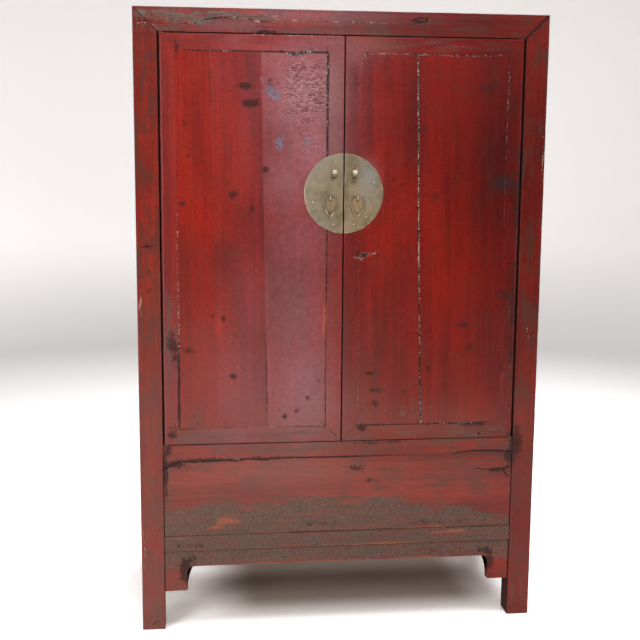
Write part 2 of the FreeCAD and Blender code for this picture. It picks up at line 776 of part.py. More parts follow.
def plate(side, holes):
    """Half of the round plate."""
    disc = rod(("0", DOOR_FACE, "plate_level"), -Y, "plate_radius", "plate_thickness")
    half = block(
        across(side, "(plate_gap / 2)", "(plate_radius + overrun)"),
        grown((PLATE_FACE, DOOR_FACE), "overrun"),
        grown(("plate_level", "plate_level"), "(plate_radius + overrun)"),
    )
    return keep(cut(common(disc, half), holes), f"plate_{side}")


def tails(side, place, half_width, thickness, z):
    """The two bent tails of a shank, flat on the back of the door."""
    x = grown((offset(side, place), offset(side, place)), half_width)
    return block(x, (DOOR_BACK, f"{DOOR_BACK} + {thickness}"), grown((z, z), "tail_length"))


def lock_loop(side):
    """The loop for a lock bar: a strap bent round, with its two ends driven through the door."""
    start = (f"{offset(side, 'loop_offset')} - loop_width / 2", LOOP_Y, LOOP_Z)
    ring = rod(start, X, "loop_radius", "loop_width")
    bore = rod(start, X, "loop_radius - loop_strap", "loop_width")
    tail = tails(side, "loop_offset", "(loop_width / 2)", "loop_strap", LOOP_Z)
    return keep(cut(fuse(ring, shank_block(side, "0"), tail), bore), f"lock_loop_{side}")


def eye_pin(side):
    """The wire eye that a leaf pull hangs on."""
    eye = doc.addObject("Part::Torus", "eye")
    eye.Placement.Rotation = FreeCAD.Rotation(Z, X)
    centre = (offset(side, "eye_offset"), EYE_Y, EYE_Z)
    places = {f"Placement.Base.{axis}": place for axis, place in zip("xyz", centre)}
    bind(eye, {"Radius1": "eye_radius", "Radius2": "eye_wire_radius", **places})
    tail = tails(side, "eye_offset", "eye_wire_radius", "(2 * eye_wire_radius)", EYE_Z)
    return keep(fuse(eye, eye_shank(side, "0"), tail), f"pull_eye_{side}")


def leaf_outline(side, inset, thickness):
    """A leaf with a round head and a pointed foot, in from the pull's own edge by an inset.

    The head is a disc. Below its middle each edge is an arc that starts level with the disc's side
    and meets the other arc at the point, so its radius follows from the half width and the point.
    """
    half = f"(leaf_width / 2 - {inset})"
    point = f"(leaf_point - 2 * {inset})"
    arc = f"(({point}) ^ 2 + {half} ^ 2) / (2 * {half})"
    middle = offset(side, "eye_offset")
    back = f"{EYE_Y} + leaf_thickness / 2"
    head = rod((middle, back, LEAF_MIDDLE_Z), -Y, half, thickness)
    centres = [f"{middle} - ({arc} - {half})", f"{middle} + ({arc} - {half})"]
    arcs = [rod((centre, back, LEAF_MIDDLE_Z), -Y, arc, thickness) for centre in centres]
    lower = block(
        grown((middle, middle), f"({half} + overrun)"),
        grown((f"{EYE_Y}", f"{EYE_Y}"), "(leaf_thickness + leaf_raise + overrun)"),
        (f"{LEAF_MIDDLE_Z} - leaf_point - overrun", LEAF_MIDDLE_Z),
    )
    return fuse(head, common(*arcs, lower))


def leaf_pull(side):
    """A brass leaf with a raised field, hung by the hole in its head."""
    leaf = leaf_outline(side, "0", "leaf_thickness")
    field = leaf_outline(side, "leaf_border", "(leaf_thickness + leaf_raise)")
    start = (offset(side, "eye_offset"), f"{EYE_Y} + leaf_thickness", LEAF_HOLE_Z)
    hole = rod(start, -Y, "leaf_hole_radius", "(2 * leaf_thickness + leaf_raise)")
    return keep(cut(fuse(leaf, field), hole), f"leaf_pull_{side}")


def plate_nails(side):
    """The nails that hold half of the plate."""
    nails = []
    for angle in NAIL_ANGLES[side]:
        x, z = nail_place(side, angle)
        head = rod((x, PLATE_FACE, z), -Y, "nail_head_radius", "nail_head_height")
        nails.append(fuse(head, nail_shank(side, angle, "0")))
    return keep(group(*nails), f"plate_nails_{side}")


for side in SIDES:
    groove = tongue_groove(side)
    holes = brass_holes(side)
    tenon_holes = [door_tenon(side, level, "joint_clearance", "tenon_play") for level in door_rail_levels]
    hinge_stile(side, groove, tenon_holes)
    meeting_stile(side, groove, tenon_holes, holes)
    for level in door_rail_levels:
        door_rail(side, level, groove)
    door_boards(side, holes)
    door_battens(side)
    plate(side, holes)
    lock_loop(side)
    eye_pin(side)
    leaf_pull(side)
    plate_nails(side)

doc.recompute()

for item in doc.Objects:
    if "Invalid" in item.State or "Error" in item.State:
        raise ValueError(f"{item.Label} could not be built: {item.State}")
for piece in pieces:
    if piece.Shape.isNull() or not piece.Shape.isValid():
        raise ValueError(f"{piece.Label} has no valid shape")

os.makedirs("parts", exist_ok=True)
for piece in pieces:
    piece.Shape.exportStep(f"parts/{piece.Label}.step")
print(f"{len(pieces)} pieces, {sum(len(piece.Shape.Solids) for piece in pieces)} solids")
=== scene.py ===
# %% [markdown]
# # A Chinese wedding cabinet
#
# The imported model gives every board, rail, post and brass fitting its place. This notebook gives them
# their looks: worn edges, open seams and old red lacquer. Each board that shows is made again as one
# surface, so its arrises can be worn and its lacquer can know how far the next edge is. The boards inside
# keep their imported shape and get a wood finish.

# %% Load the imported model
import math

import bpy
import numpy as np
from mathutils import Matrix, Vector


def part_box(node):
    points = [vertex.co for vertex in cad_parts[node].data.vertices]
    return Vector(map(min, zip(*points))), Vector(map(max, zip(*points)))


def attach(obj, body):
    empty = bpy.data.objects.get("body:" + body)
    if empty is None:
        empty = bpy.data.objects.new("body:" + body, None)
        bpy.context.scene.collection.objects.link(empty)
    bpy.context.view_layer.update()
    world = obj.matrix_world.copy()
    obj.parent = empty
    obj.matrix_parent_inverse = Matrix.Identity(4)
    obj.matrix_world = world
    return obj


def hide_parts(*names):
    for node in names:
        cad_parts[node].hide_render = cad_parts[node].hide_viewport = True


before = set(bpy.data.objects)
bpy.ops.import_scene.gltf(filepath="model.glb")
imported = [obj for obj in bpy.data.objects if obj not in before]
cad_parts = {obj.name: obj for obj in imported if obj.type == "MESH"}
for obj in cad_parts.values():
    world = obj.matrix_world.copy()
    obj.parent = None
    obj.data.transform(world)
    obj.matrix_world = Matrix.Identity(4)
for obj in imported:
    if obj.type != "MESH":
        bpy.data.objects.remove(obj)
for spare in ("Cube", "Light", "Camera"):
    if spare in bpy.data.objects:
        bpy.data.objects.remove(bpy.data.objects[spare])
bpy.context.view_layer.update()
MM = 0.001


def corners(node):
    """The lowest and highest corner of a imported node, in millimetres."""
    low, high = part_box(node)
    return np.array(low) / MM, np.array(high) / MM


print("nodes:", len(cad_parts))

# %% [markdown]
# ## Camera
#
# The camera stands a little left of the cabinet, at chest height, and looks slightly down and to the
# right. Its place and turn come from fitting the straight edges of the frame, so no trial and error is
# needed. Yaw, pitch and roll are turned in that order, and the last quarter turn is Blender's own,
# because its cameras look down their -Z axis.

# %% Place the camera
FOCAL_PIXELS, FRAME_PIXELS = 1102.8, 640
CAMERA_PLACE = (-0.44484, -3.37607, 1.40255)
YAW, PITCH, ROLL = -0.12172, -0.15401, -0.00753
lens = bpy.data.cameras.new("camera")
lens.sensor_width = 36.0
lens.lens = lens.sensor_width * FOCAL_PIXELS / FRAME_PIXELS
camera = bpy.data.objects.new("camera", lens)
turn = Matrix.Rotation(YAW, 4, "Z") @ Matrix.Rotation(PITCH, 4, "X") @ Matrix.Rotation(ROLL, 4, "Y")
camera.matrix_world = Matrix.Translation(CAMERA_PLACE) @ turn @ Matrix.Rotation(math.pi / 2, 4, "X")
bpy.context.scene.collection.objects.link(camera)
bpy.context.scene.camera = camera
bpy.context.scene.view_settings.view_transform = "Standard"
print("lens:", round(lens.lens, 1), "mm")

# %% [markdown]
# ## A small kit for node trees
#
# A finish is a tree of nodes. Wiring them by hand takes four lines each, so `Net` puts a node down,
# feeds it numbers, colours or other nodes' outputs, and hands back what comes out. `group` wraps an
# effect that several finishes share, with named sockets, as a maker keeps a jar of one glaze.


# %% Wiring helpers
def paint(red, green, blue):
    """A colour as seen on a screen, 0 to 255, turned into the linear values that shaders use."""
    seen = np.array([red, green, blue]) / 255
    linear = np.where(seen <= 0.04045, seen / 12.92, ((seen + 0.055) / 1.055) ** 2.4)
    return (*linear.tolist(), 1.0)


class Net:
    """Puts nodes into one tree. A value may be a number, a colour or another node's socket."""

    def __init__(self, tree):
        self.tree = tree

    def feed(self, socket, value):
        if isinstance(value, bpy.types.NodeSocket):
            self.tree.links.new(value, socket)
        else:
            socket.default_value = value

    def put(self, kind, feeds=None, **settings):
        node = self.tree.nodes.new("ShaderNode" + kind)
        for key, value in settings.items():
            setattr(node, key, value)
        for key, value in (feeds or {}).items():
            self.feed(node.inputs[key], value)
        return node

    def use(self, tree, **feeds):
        return self.put("Group", feeds, node_tree=tree).outputs

    def math(self, operation, *values):
        return self.put("Math", dict(enumerate(values)), operation=operation).outputs[0]

    def times(self, first, second):
        return self.math("MULTIPLY", first, second)

    def less(self, first, second):
        return self.math("SUBTRACT", first, second)

    def scaled(self, value, gain, base):
        return self.math("MULTIPLY_ADD", value, gain, base)

    def add(self, total, *parts):
        """Adds values to a total, each as (value, weight)."""
        for value, weight in parts:
            total = self.scaled(value, weight, total)
        return total

    def blend(self, *parts):
        """The weighted sum of (value, weight) pairs."""
        return self.add(self.times(*parts[-1]), *parts[-2::-1])

    def smooth(self, value, low, high):
        feeds = {"Value": value, "From Min": low, "From Max": high}
        return self.put("MapRange", feeds, interpolation_type="SMOOTHSTEP").outputs["Result"]

    def near(self, value, low, high):
        """1 up to low, easing to 0 at high."""
        return self.less(1.0, self.smooth(value, low, high))

    def band(self, value, middle, outer, inner):
        """1 within `inner` of the middle, easing to 0 at `outer`."""
        return self.smooth(self.math("ABSOLUTE", self.less(value, middle)), outer, inner)

    def mix(self, share, first, second, kind="MIX"):
        feeds = {0: share, 6: first, 7: second}
        return self.put("Mix", feeds, data_type="RGBA", blend_type=kind).outputs[2]

    def darken(self, colour, grey):
        """A colour times a grey."""
        light = self.put("CombineColor", {0: grey, 1: grey, 2: grey}).outputs[0]
        return self.mix(1.0, colour, light, "MULTIPLY")

    def lay(self, colour, *coats):
        """Lays coats over a colour, each as (mask, share of full strength, colour)."""
        for mask, share, over in coats:
            colour = self.mix(self.times(mask, share), colour, over)
        return colour

    def stretch(self, place, across, along):
        """A place scaled across the grain and along it."""
        feeds = {0: place, 1: (across, across, along)}
        return self.put("VectorMath", feeds, operation="MULTIPLY").outputs[0]

    def noise(self, place, scale, detail):
        feeds = {"Vector": place, "Scale": scale, "Detail": detail}
        return self.put("TexNoise", feeds).outputs["Fac"]

    def grainy(self, place, across, along, detail):
        return self.noise(self.stretch(place, across, along), 1.0, detail)

    def field(self, name, output="Fac"):
        return self.put("Attribute", attribute_name=name).outputs[output]

    def shade(self, colour, rough, height, strength, reach):
        """Feeds the shader: its colour, its roughness and a bump of that height."""
        bump = self.put("Bump", {"Strength": strength, "Distance": reach, "Height": height})
        shader = self.tree.nodes["Principled BSDF"]
        for name, value in (("Base Color", colour), ("Roughness", rough), ("Normal", bump.outputs["Normal"])):
            self.feed(shader.inputs[name], value)
        return shader


def new_finish(name):
    material = bpy.data.materials.new(name)
    material.use_nodes = True
    return material, Net(material.node_tree)


SOCKETS = {"value": "NodeSocketFloat", "place": "NodeSocketVector"}


def group(name, inputs, outputs, fill):
    """A shared effect. inputs gives each socket's name, sort and usual value."""
    tree = bpy.data.node_groups.new(name, "ShaderNodeTree")
    for label, sort, usual in inputs:
        socket = tree.interface.new_socket(label, in_out="INPUT", socket_type=SOCKETS[sort])
        if usual is not None:
            socket.default_value = usual
    for label in outputs:
        tree.interface.new_socket(label, in_out="OUTPUT", socket_type=SOCKETS["value"])
    net = Net(tree)
    start = tree.nodes.new("NodeGroupInput")
    end = tree.nodes.new("NodeGroupOutput")
    for label, value in fill(net, start.outputs).items():
        net.feed(end.inputs[label], value)
    return tree


# %% [markdown]
# ## Shared effects
#
# Every effect reads `at`, a place in metres that is stored on each board with its grain along the third
# number, so one effect serves upright and lying boards. The marks themselves are stored as soft fields,
# such as the share of soot or the distance to a crack. An effect breaks such a field up with noise, which
# gives a crisp, natural rim that the mesh alone is too coarse for.


# %% Grain, patches, edges, cracks, crackle, specks and dust
def fill_streaks(net, got):
    scale = net.put("CombineXYZ", {"X": got["Across"], "Y": got["Across"], "Z": got["Along"]}).outputs[0]
    place = net.put("VectorMath", {0: got["At"], 1: scale}, operation="MULTIPLY").outputs[0]
    return {"Streak": net.noise(place, 1.0, 4.0), "Fibre": net.noise(place, 7.0, 2.0)}


def fill_patch(net, got):
    rough = net.times(net.less(got["Break"], 0.5), got["Ragged"])
    whole = net.math("ADD", got["Amount"], rough)
    gate = net.smooth(got["Amount"], 0.02, 0.2)
    return {"Mask": net.times(net.smooth(whole, 0.2, 0.62), gate)}


def fill_arris(net, got):
    reach = net.times(net.smooth(net.grainy(got["At"], 90.0, 22.0, 4.0), 0.46, 0.74), got["Width"])
    return {"Mask": net.near(net.math("DIVIDE", got["Distance"], net.math("ADD", reach, 0.05)), 0.5, 1.1)}


def fill_line(net, got):
    at, dark, chips = got["At"], got["Dark"], got["Chips"]
    crumb, clump = net.grainy(at, 420.0, 300.0, 2.0), net.grainy(at, 42.0, 42.0, 2.0)
    wander = net.times(net.less(net.grainy(at, 80.0, 50.0, 3.0), 0.5), 5.0)
    off = net.math("ABSOLUTE", net.math("ADD", got["Distance"], wander))
    reach = net.times(net.scaled(crumb, 2.4, 0.7), net.scaled(dark, 1.3, 0.2))
    crack = net.near(net.math("DIVIDE", off, reach), 0.5, 1.6)
    kept = net.smooth(net.scaled(clump, 0.8, net.less(dark, 0.66)), 0.0, 0.2)
    shown = net.times(kept, net.smooth(dark, -0.9, 1.0))
    flake = net.near(net.math("DIVIDE", off, net.scaled(chips, 1.7, 0.7)), 0.6, 1.2)
    grit = net.scaled(clump, 0.5, net.scaled(chips, 0.2, crumb))
    chip = net.times(net.smooth(grit, 0.95, 1.05), net.smooth(chips, 0.02, 0.12))
    return {"Crack": net.times(crack, shown), "Chip": net.times(flake, chip)}


def fill_crackle(net, got):
    thin, where = net.grainy(got["At"], 120.0, 480.0, 3.0), net.grainy(got["At"], 22.0, 40.0, 2.0)
    level = net.less(0.74, net.times(net.times(got["Amount"], where), 0.38))
    # Lip: the rim beside each crack, where the lacquer gets a painted highlight
    low = net.less(net.less(0.97, level), thin)
    return {"Mask": net.smooth(net.less(thin, level), 0.0, 0.06), "Lip": net.smooth(low, 0.0, 0.06)}


def fill_specks(net, got):
    cell = net.put("TexVoronoi", {"Vector": got["At"], "Scale": got["Number"]})
    pick = net.put("SeparateColor", {"Color": cell.outputs["Color"]}).outputs[0]
    size = net.times(net.smooth(pick, 0.8, 1.0), 0.2)
    return {"Mask": net.near(net.less(cell.outputs["Distance"], size), -0.03, 0.03)}


def fill_dust(net, got):
    up = net.put("SeparateXYZ", {0: net.put("NewGeometry").outputs["Normal"]}).outputs["Z"]
    cloud = net.noise(got["At"], 16.0, 5.0)
    return {"Mask": net.times(net.smooth(up, 0.55, 0.95), net.smooth(cloud, 0.1, 0.8))}


AT = ("At", "place", None)


def sockets(**usual):
    return [(name, "value", value) for name, value in usual.items()]


streaks = group("wood_streaks", [AT, *sockets(Across=60.0, Along=1.6)], ["Streak", "Fibre"], fill_streaks)
patch = group("ragged_patch", sockets(Amount=0.0, Break=0.5, Ragged=0.9), ["Mask"], fill_patch)
arris = group("worn_arris", [AT, *sockets(Distance=50.0, Width=3.0)], ["Mask"], fill_arris)
drawn_line = group(
    "crack_and_chips", [AT, *sockets(Distance=50.0, Dark=0.0, Chips=0.0)], ["Crack", "Chip"], fill_line)
crackle = group("cross_crackle", [AT, *sockets(Amount=0.0)], ["Mask", "Lip"], fill_crackle)
specks = group("specks", [AT, *sockets(Number=90.0)], ["Mask"], fill_specks)
dust = group("dust_film", [AT], ["Mask"], fill_dust)
print("effects:", [tree.name for tree in bpy.data.node_groups])

# %% [markdown]
# ## Old lacquer
#
# Several coats of red lacquer lie over a thin ground on softwood. Hands and cloths have polished it to
# vermilion in the middle of the doors; the vermilion also holds painted light, most on the left door, and
# the deep red holds both a darker tone and painted shade, most on the right door. Damp has left a pink bloom
# with cracks across the grain, and over it lie a painted sheen and painted highlights on the lips of the
# cracks. A milky film low on the front is partly dust and partly a painted reflection of the floor. Soot
# and grease have browned the rails. Along edges and seams the coats have chipped to the pale ground, and
# the sides of narrow gaps carry dirt and painted shade. One function makes the finish for each slot. The
# fields stored on the boards say where each thing is.


# %% The lacquer finish
def lacquer(name, dark, main, bright, width, crackled, handled):
    """Coats from the wood outwards. Roughness and relief are sums over the same masks as the colours."""
    material, net = new_finish(name)
    at = net.field("grain_at", "Vector")
    grain = net.use(streaks, At=at, Across=105.0, Along=1.8)
    wide, cloud = net.noise(at, 3.0, 3.0), net.noise(at, 15.0, 5.0)
    fine, grit = net.noise(at, 70.0, 4.0), net.noise(at, 210.0, 3.0)
    broad, smear = net.grainy(at, 17.0, 2.8, 4.0), net.grainy(at, 70.0, 11.0, 5.0)
    cross = net.grainy(at, 80.0, 260.0, 4.0)
    bloom_and_sheen, stain = net.field("bloom_and_sheen"), net.field("stain")
    # coats of lacquer
    tone = net.blend((grain["Streak"], 0.22), (wide, 0.3), (broad, 0.38), (fine, 0.1))
    # vermilion where the lacquer is rubbed, with painted light, most on the left door
    rubbed_and_lit = net.times(net.field("bright"), net.scaled(net.smooth(tone, 0.38, 0.6), 0.6, 0.4))
    colour = net.lay(
        net.mix(net.smooth(tone, 0.37, 0.61), dark, main),
        (rubbed_and_lit, 1.0, bright),
        # deep red, partly a darker tone, partly painted shade, most on the right door
        (net.field("deep"), net.scaled(cloud, 0.5, 0.6), paint(62, 8, 6)),
        (net.smooth(grain["Fibre"], 0.5, 0.72), 0.32, paint(40, 8, 6)),
        (net.smooth(grit, 0.55, 0.75), 0.3, paint(50, 12, 10)))
    mottle = net.scaled(grit, 1.0, net.scaled(net.noise(at, 420.0, 2.0), 0.7, 0.17))
    touched = net.smooth(net.blend((cloud, 0.5), (smear, 0.5)), 0.47, 0.6)
    colour = net.lay(net.darken(colour, mottle), (touched, handled, paint(84, 44, 34)))
    # films on top: a milky film low on the front, partly dust and mop water and partly a painted reflection
    # of the floor, the pink damp bloom with a painted sheen, and grease
    film_and_floor_sheen = net.times(net.field("film_and_floor_sheen"), net.scaled(cloud, 0.6, 0.7))
    lines = net.use(crackle, At=at, Amount=net.scaled(net.smooth(bloom_and_sheen, 0.5, 0.8), 0.8, crackled))
    uneven = net.scaled(net.less(smear, 0.5), 1.5, net.times(net.less(grit, 0.5), 0.8))
    greasy = net.smooth(net.scaled(net.smooth(stain, 0.0, 0.3), uneven, stain), 0.12, 0.9)
    grease = net.mix(net.smooth(grit, 0.25, 0.75), paint(79, 67, 59), paint(112, 96, 84))
    colour = net.lay(
        colour,
        (film_and_floor_sheen, 1.0, paint(142, 96, 86)),
        (bloom_and_sheen, net.scaled(fine, 0.8, 0.45), paint(172, 120, 126)),
        (lines["Mask"], 0.66, paint(84, 12, 14)),
        # pale lips beside the crackle: painted highlights
        (net.times(lines["Lip"], bloom_and_sheen), 0.34, paint(196, 152, 156)),
        (greasy, 0.84, grease))
    # soot, chalky bloom, worn ground and bare wood
    torn = net.blend((cloud, 0.35), (cross, 0.2), (fine, 0.45))
    soot, chalk, worn, bare = (
        net.use(patch, Amount=net.field(kind), Break=rim, Ragged=ragged)["Mask"] for kind, rim, ragged in
        (("soot_and_shadow", torn, 2.4), ("chalk", torn, 2.6), ("worn", smear, 2.2), ("bare", torn, 2.0)))
    colour = net.lay(
        colour,
        (soot, 0.8, net.mix(fine, paint(20, 8, 7), paint(52, 30, 28))),
        (chalk, 0.7, net.mix(net.smooth(grit, 0.3, 0.7), paint(86, 76, 88), paint(132, 132, 150))),
        (worn, 0.52, paint(184, 98, 70)),
        (bare, 0.85, net.mix(
            net.smooth(grain["Fibre"], 0.35, 0.65), paint(78, 66, 60), paint(124, 112, 104))))
    # edges, seams with dirt, the sides of narrow gaps with dirt and painted shade, cracks and dust
    edge = net.use(arris, At=at, Distance=net.field("edge"), Width=width)["Mask"]
    joint_dirt_and_gap_shade = net.near(net.field("joint"), 0.4, 2.4)
    marks = {"Distance": net.field("line"), "Dark": net.field("line_dark"), "Chips": net.field("line_chips")}
    drawn = net.use(drawn_line, At=at, **marks)
    ground = net.mix(net.smooth(grit, 0.3, 0.55), paint(142, 98, 88), paint(216, 190, 174))
    dusty = net.use(dust, At=at)["Mask"]
    colour = net.lay(
        colour,
        (edge, 0.4, paint(112, 66, 54)), (joint_dirt_and_gap_shade, 0.88, paint(22, 9, 7)),
        (drawn["Crack"], 0.9, paint(24, 10, 9)), (drawn["Chip"], 0.85, ground),
        (net.use(specks, At=at, Number=75.0)["Mask"], 0.4, paint(46, 18, 16)),
        (dusty, 0.3, paint(150, 132, 118)))
    # the back of each board has no lacquer
    figure = net.use(streaks, At=at, Across=30.0, Along=1.1)
    plain = net.blend((figure["Streak"], 0.4), (figure["Fibre"], 0.15), (net.noise(at, 0.9, 1.0), 0.45))
    knots = net.use(specks, At=net.stretch(at, 1.0, 0.4), Number=7.0)["Mask"]
    plain = net.lay(
        net.mix(net.smooth(plain, 0.34, 0.66), paint(86, 60, 42), paint(152, 116, 82)),
        (net.smooth(figure["Fibre"], 0.52, 0.7), 0.3, paint(66, 46, 34)),
        (net.smooth(cloud, 0.45, 0.75), 0.4, paint(112, 100, 88)),
        (knots, 0.5, paint(54, 34, 24)), (net.near(net.field("edge"), 0.5, 3.0), 0.75, paint(36, 24, 18)))
    coated = net.smooth(net.scaled(fine, 0.3, net.field("lacquer")), 0.5, 0.65)
    # gloss, and relief from the grain down to the flaked edges
    shine = net.add(
        net.scaled(fine, 0.12, 0.29), (greasy, 0.2), (soot, 0.12), (chalk, 0.1), (bare, 0.3),
        (drawn["Chip"], 0.3), (dusty, 0.25), (film_and_floor_sheen, 0.12), (joint_dirt_and_gap_shade, 0.4))
    rough = net.put("Mix", {0: coated, 2: 0.72, 3: shine}, data_type="FLOAT").outputs[0]
    height = net.add(
        net.blend((grain["Streak"], 0.3), (grain["Fibre"], 0.06)), (fine, 0.07), (grit, 0.05), (bare, -0.3),
        (drawn["Chip"], -0.25), (drawn["Crack"], -0.4), (edge, -0.15))
    shader = net.shade(net.mix(coated, plain, colour), rough, height, 0.5, 0.0009)
    shader.inputs["Specular IOR Level"].default_value = 0.18
    return material


FINISH = {
    slot: lacquer(slot, paint(*dark), paint(*main), paint(*bright), *amounts)
    for slot, dark, main, bright, amounts in (
        ("frame_lacquer", (100, 20, 14), (146, 37, 23), (170, 47, 28), (2.6, 0.3, 0.8)),
        ("door_lacquer", (98, 8, 4), (144, 20, 9), (172, 36, 12), (2.2, 0.4, 0.16)),
        ("panel_lacquer", (116, 34, 27), (157, 56, 43), (180, 68, 49), (2.2, 0.35, 0.7)),
    )
}
print("finishes:", sorted(FINISH))

# %% [markdown]
# ## Bare softwood and brass
#
# Shelves, battens and the chest's boards were never lacquered. They are old pine: brown, with dark streaks
# along the grain and grey dust on what lies flat. They keep their imported mesh, so the finish reads Object
# coordinates, and a Mapping node turns the grain along the piece. The brass has a brown and olive skin,
# rubbed bright on its edges, with pits and fine scratches.
# On the brass are painted shadows under the lock loops and above the leaves, painted shade on the lower half
# of each loop and in each leaf's groove, a painted sheen on the right plate and a painted glint on the eyes.


# %% Softwood and brass finishes
GRAIN_TURN = {"x": (0, math.pi / 2, 0), "y": (math.pi / 2, 0, 0)}


def softwood(name, axis):
    material, net = new_finish(name)
    here = net.put("TexCoord").outputs["Object"]
    at = net.put("Mapping", {"Vector": here, "Rotation": GRAIN_TURN[axis]}).outputs[0]
    grain = net.use(streaks, At=at, Across=75.0, Along=2.5)
    tone = net.blend((grain["Streak"], 0.65), (net.noise(at, 5.0, 3.0), 0.35))
    knots = net.use(specks, At=net.stretch(at, 1.0, 0.45), Number=9.0)["Mask"]
    colour = net.lay(
        net.mix(net.smooth(tone, 0.36, 0.64), paint(96, 66, 44), paint(164, 124, 86)),
        (net.smooth(grain["Fibre"], 0.55, 0.7), 0.35, paint(66, 44, 30)),
        (knots, 0.55, paint(58, 34, 22)), (net.use(dust, At=at)["Mask"], 0.35, paint(146, 132, 116)))
    height = net.blend((grain["Streak"], 0.6), (grain["Fibre"], 0.4))
    net.shade(colour, net.scaled(grain["Fibre"], 0.2, 0.62), height, 0.5, 0.0008)
    return material


def brass(name, dull, main, light, base_rough, patina):
    material, net = new_finish(name)
    at = net.put("TexCoord").outputs["Object"]
    cloud, fine = net.noise(at, 26.0, 5.0), net.noise(at, 160.0, 4.0)
    scratch = net.grainy(at, 900.0, 45.0, 2.0)
    # tarnish, and painted shadows under the lock loops and above the leaves
    tarnish_and_shadow = net.use(patch, Amount=net.field("soot_and_shadow"), Break=fine, Ragged=1.0)["Mask"]
    spots = net.use(specks, At=at, Number=210.0)["Mask"]
    rim = net.use(arris, At=at, Distance=net.field("edge"), Width=3.2)["Mask"]
    colour = net.lay(
        net.mix(net.smooth(net.blend((cloud, 0.65), (fine, 0.35)), 0.3, 0.7), dull, main),
        (net.smooth(net.noise(at, 11.0, 2.0), 0.42, 0.6), 0.45, paint(156, 128, 96)),
        # a painted sheen on the right plate
        (net.field("bloom_and_sheen"), 1.0, paint(132, 134, 130)),
        (tarnish_and_shadow, 0.6, paint(84, 66, 38)), (net.smooth(scratch, 0.58, 0.7), 0.22, light),
        (spots, 0.45, paint(70, 56, 34)), (rim, 0.75, light),
        # painted shade on the lower half of each loop and in each leaf's groove
        (net.near(net.field("joint"), 0.3, 1.6), 0.8, paint(58, 44, 28)))
    rough = net.add(net.scaled(fine, 0.25, base_rough), (rim, -0.1))
    height = net.add(net.blend((fine, 0.5), (cloud, 1.2)), (spots, -0.8))
    shader = net.shade(colour, rough, height, 0.4, 0.0006)
    net.feed(shader.inputs["Metallic"], net.less(1.0, net.times(net.smooth(cloud, 0.3, 0.6), patina)))
    return material


FINISH["bare_softwood"] = softwood("bare_softwood", "x")
FINISH["bare_softwood_y"] = softwood("bare_softwood_y", "y")
for slot, dull, main, light, amounts in (
    ("aged_brass", (110, 94, 68), (142, 127, 100), (194, 183, 158), (0.36, 0.5)),
    ("leaf_brass", (100, 82, 58), (146, 124, 94), (198, 178, 146), (0.34, 0.5)),
    ("polished_brass", (160, 150, 124), (206, 198, 176), (246, 242, 228), (0.2, 0.1)),
):
    FINISH[slot] = brass(slot, paint(*dull), paint(*main), paint(*light), *amounts)
print("finishes:", sorted(FINISH))
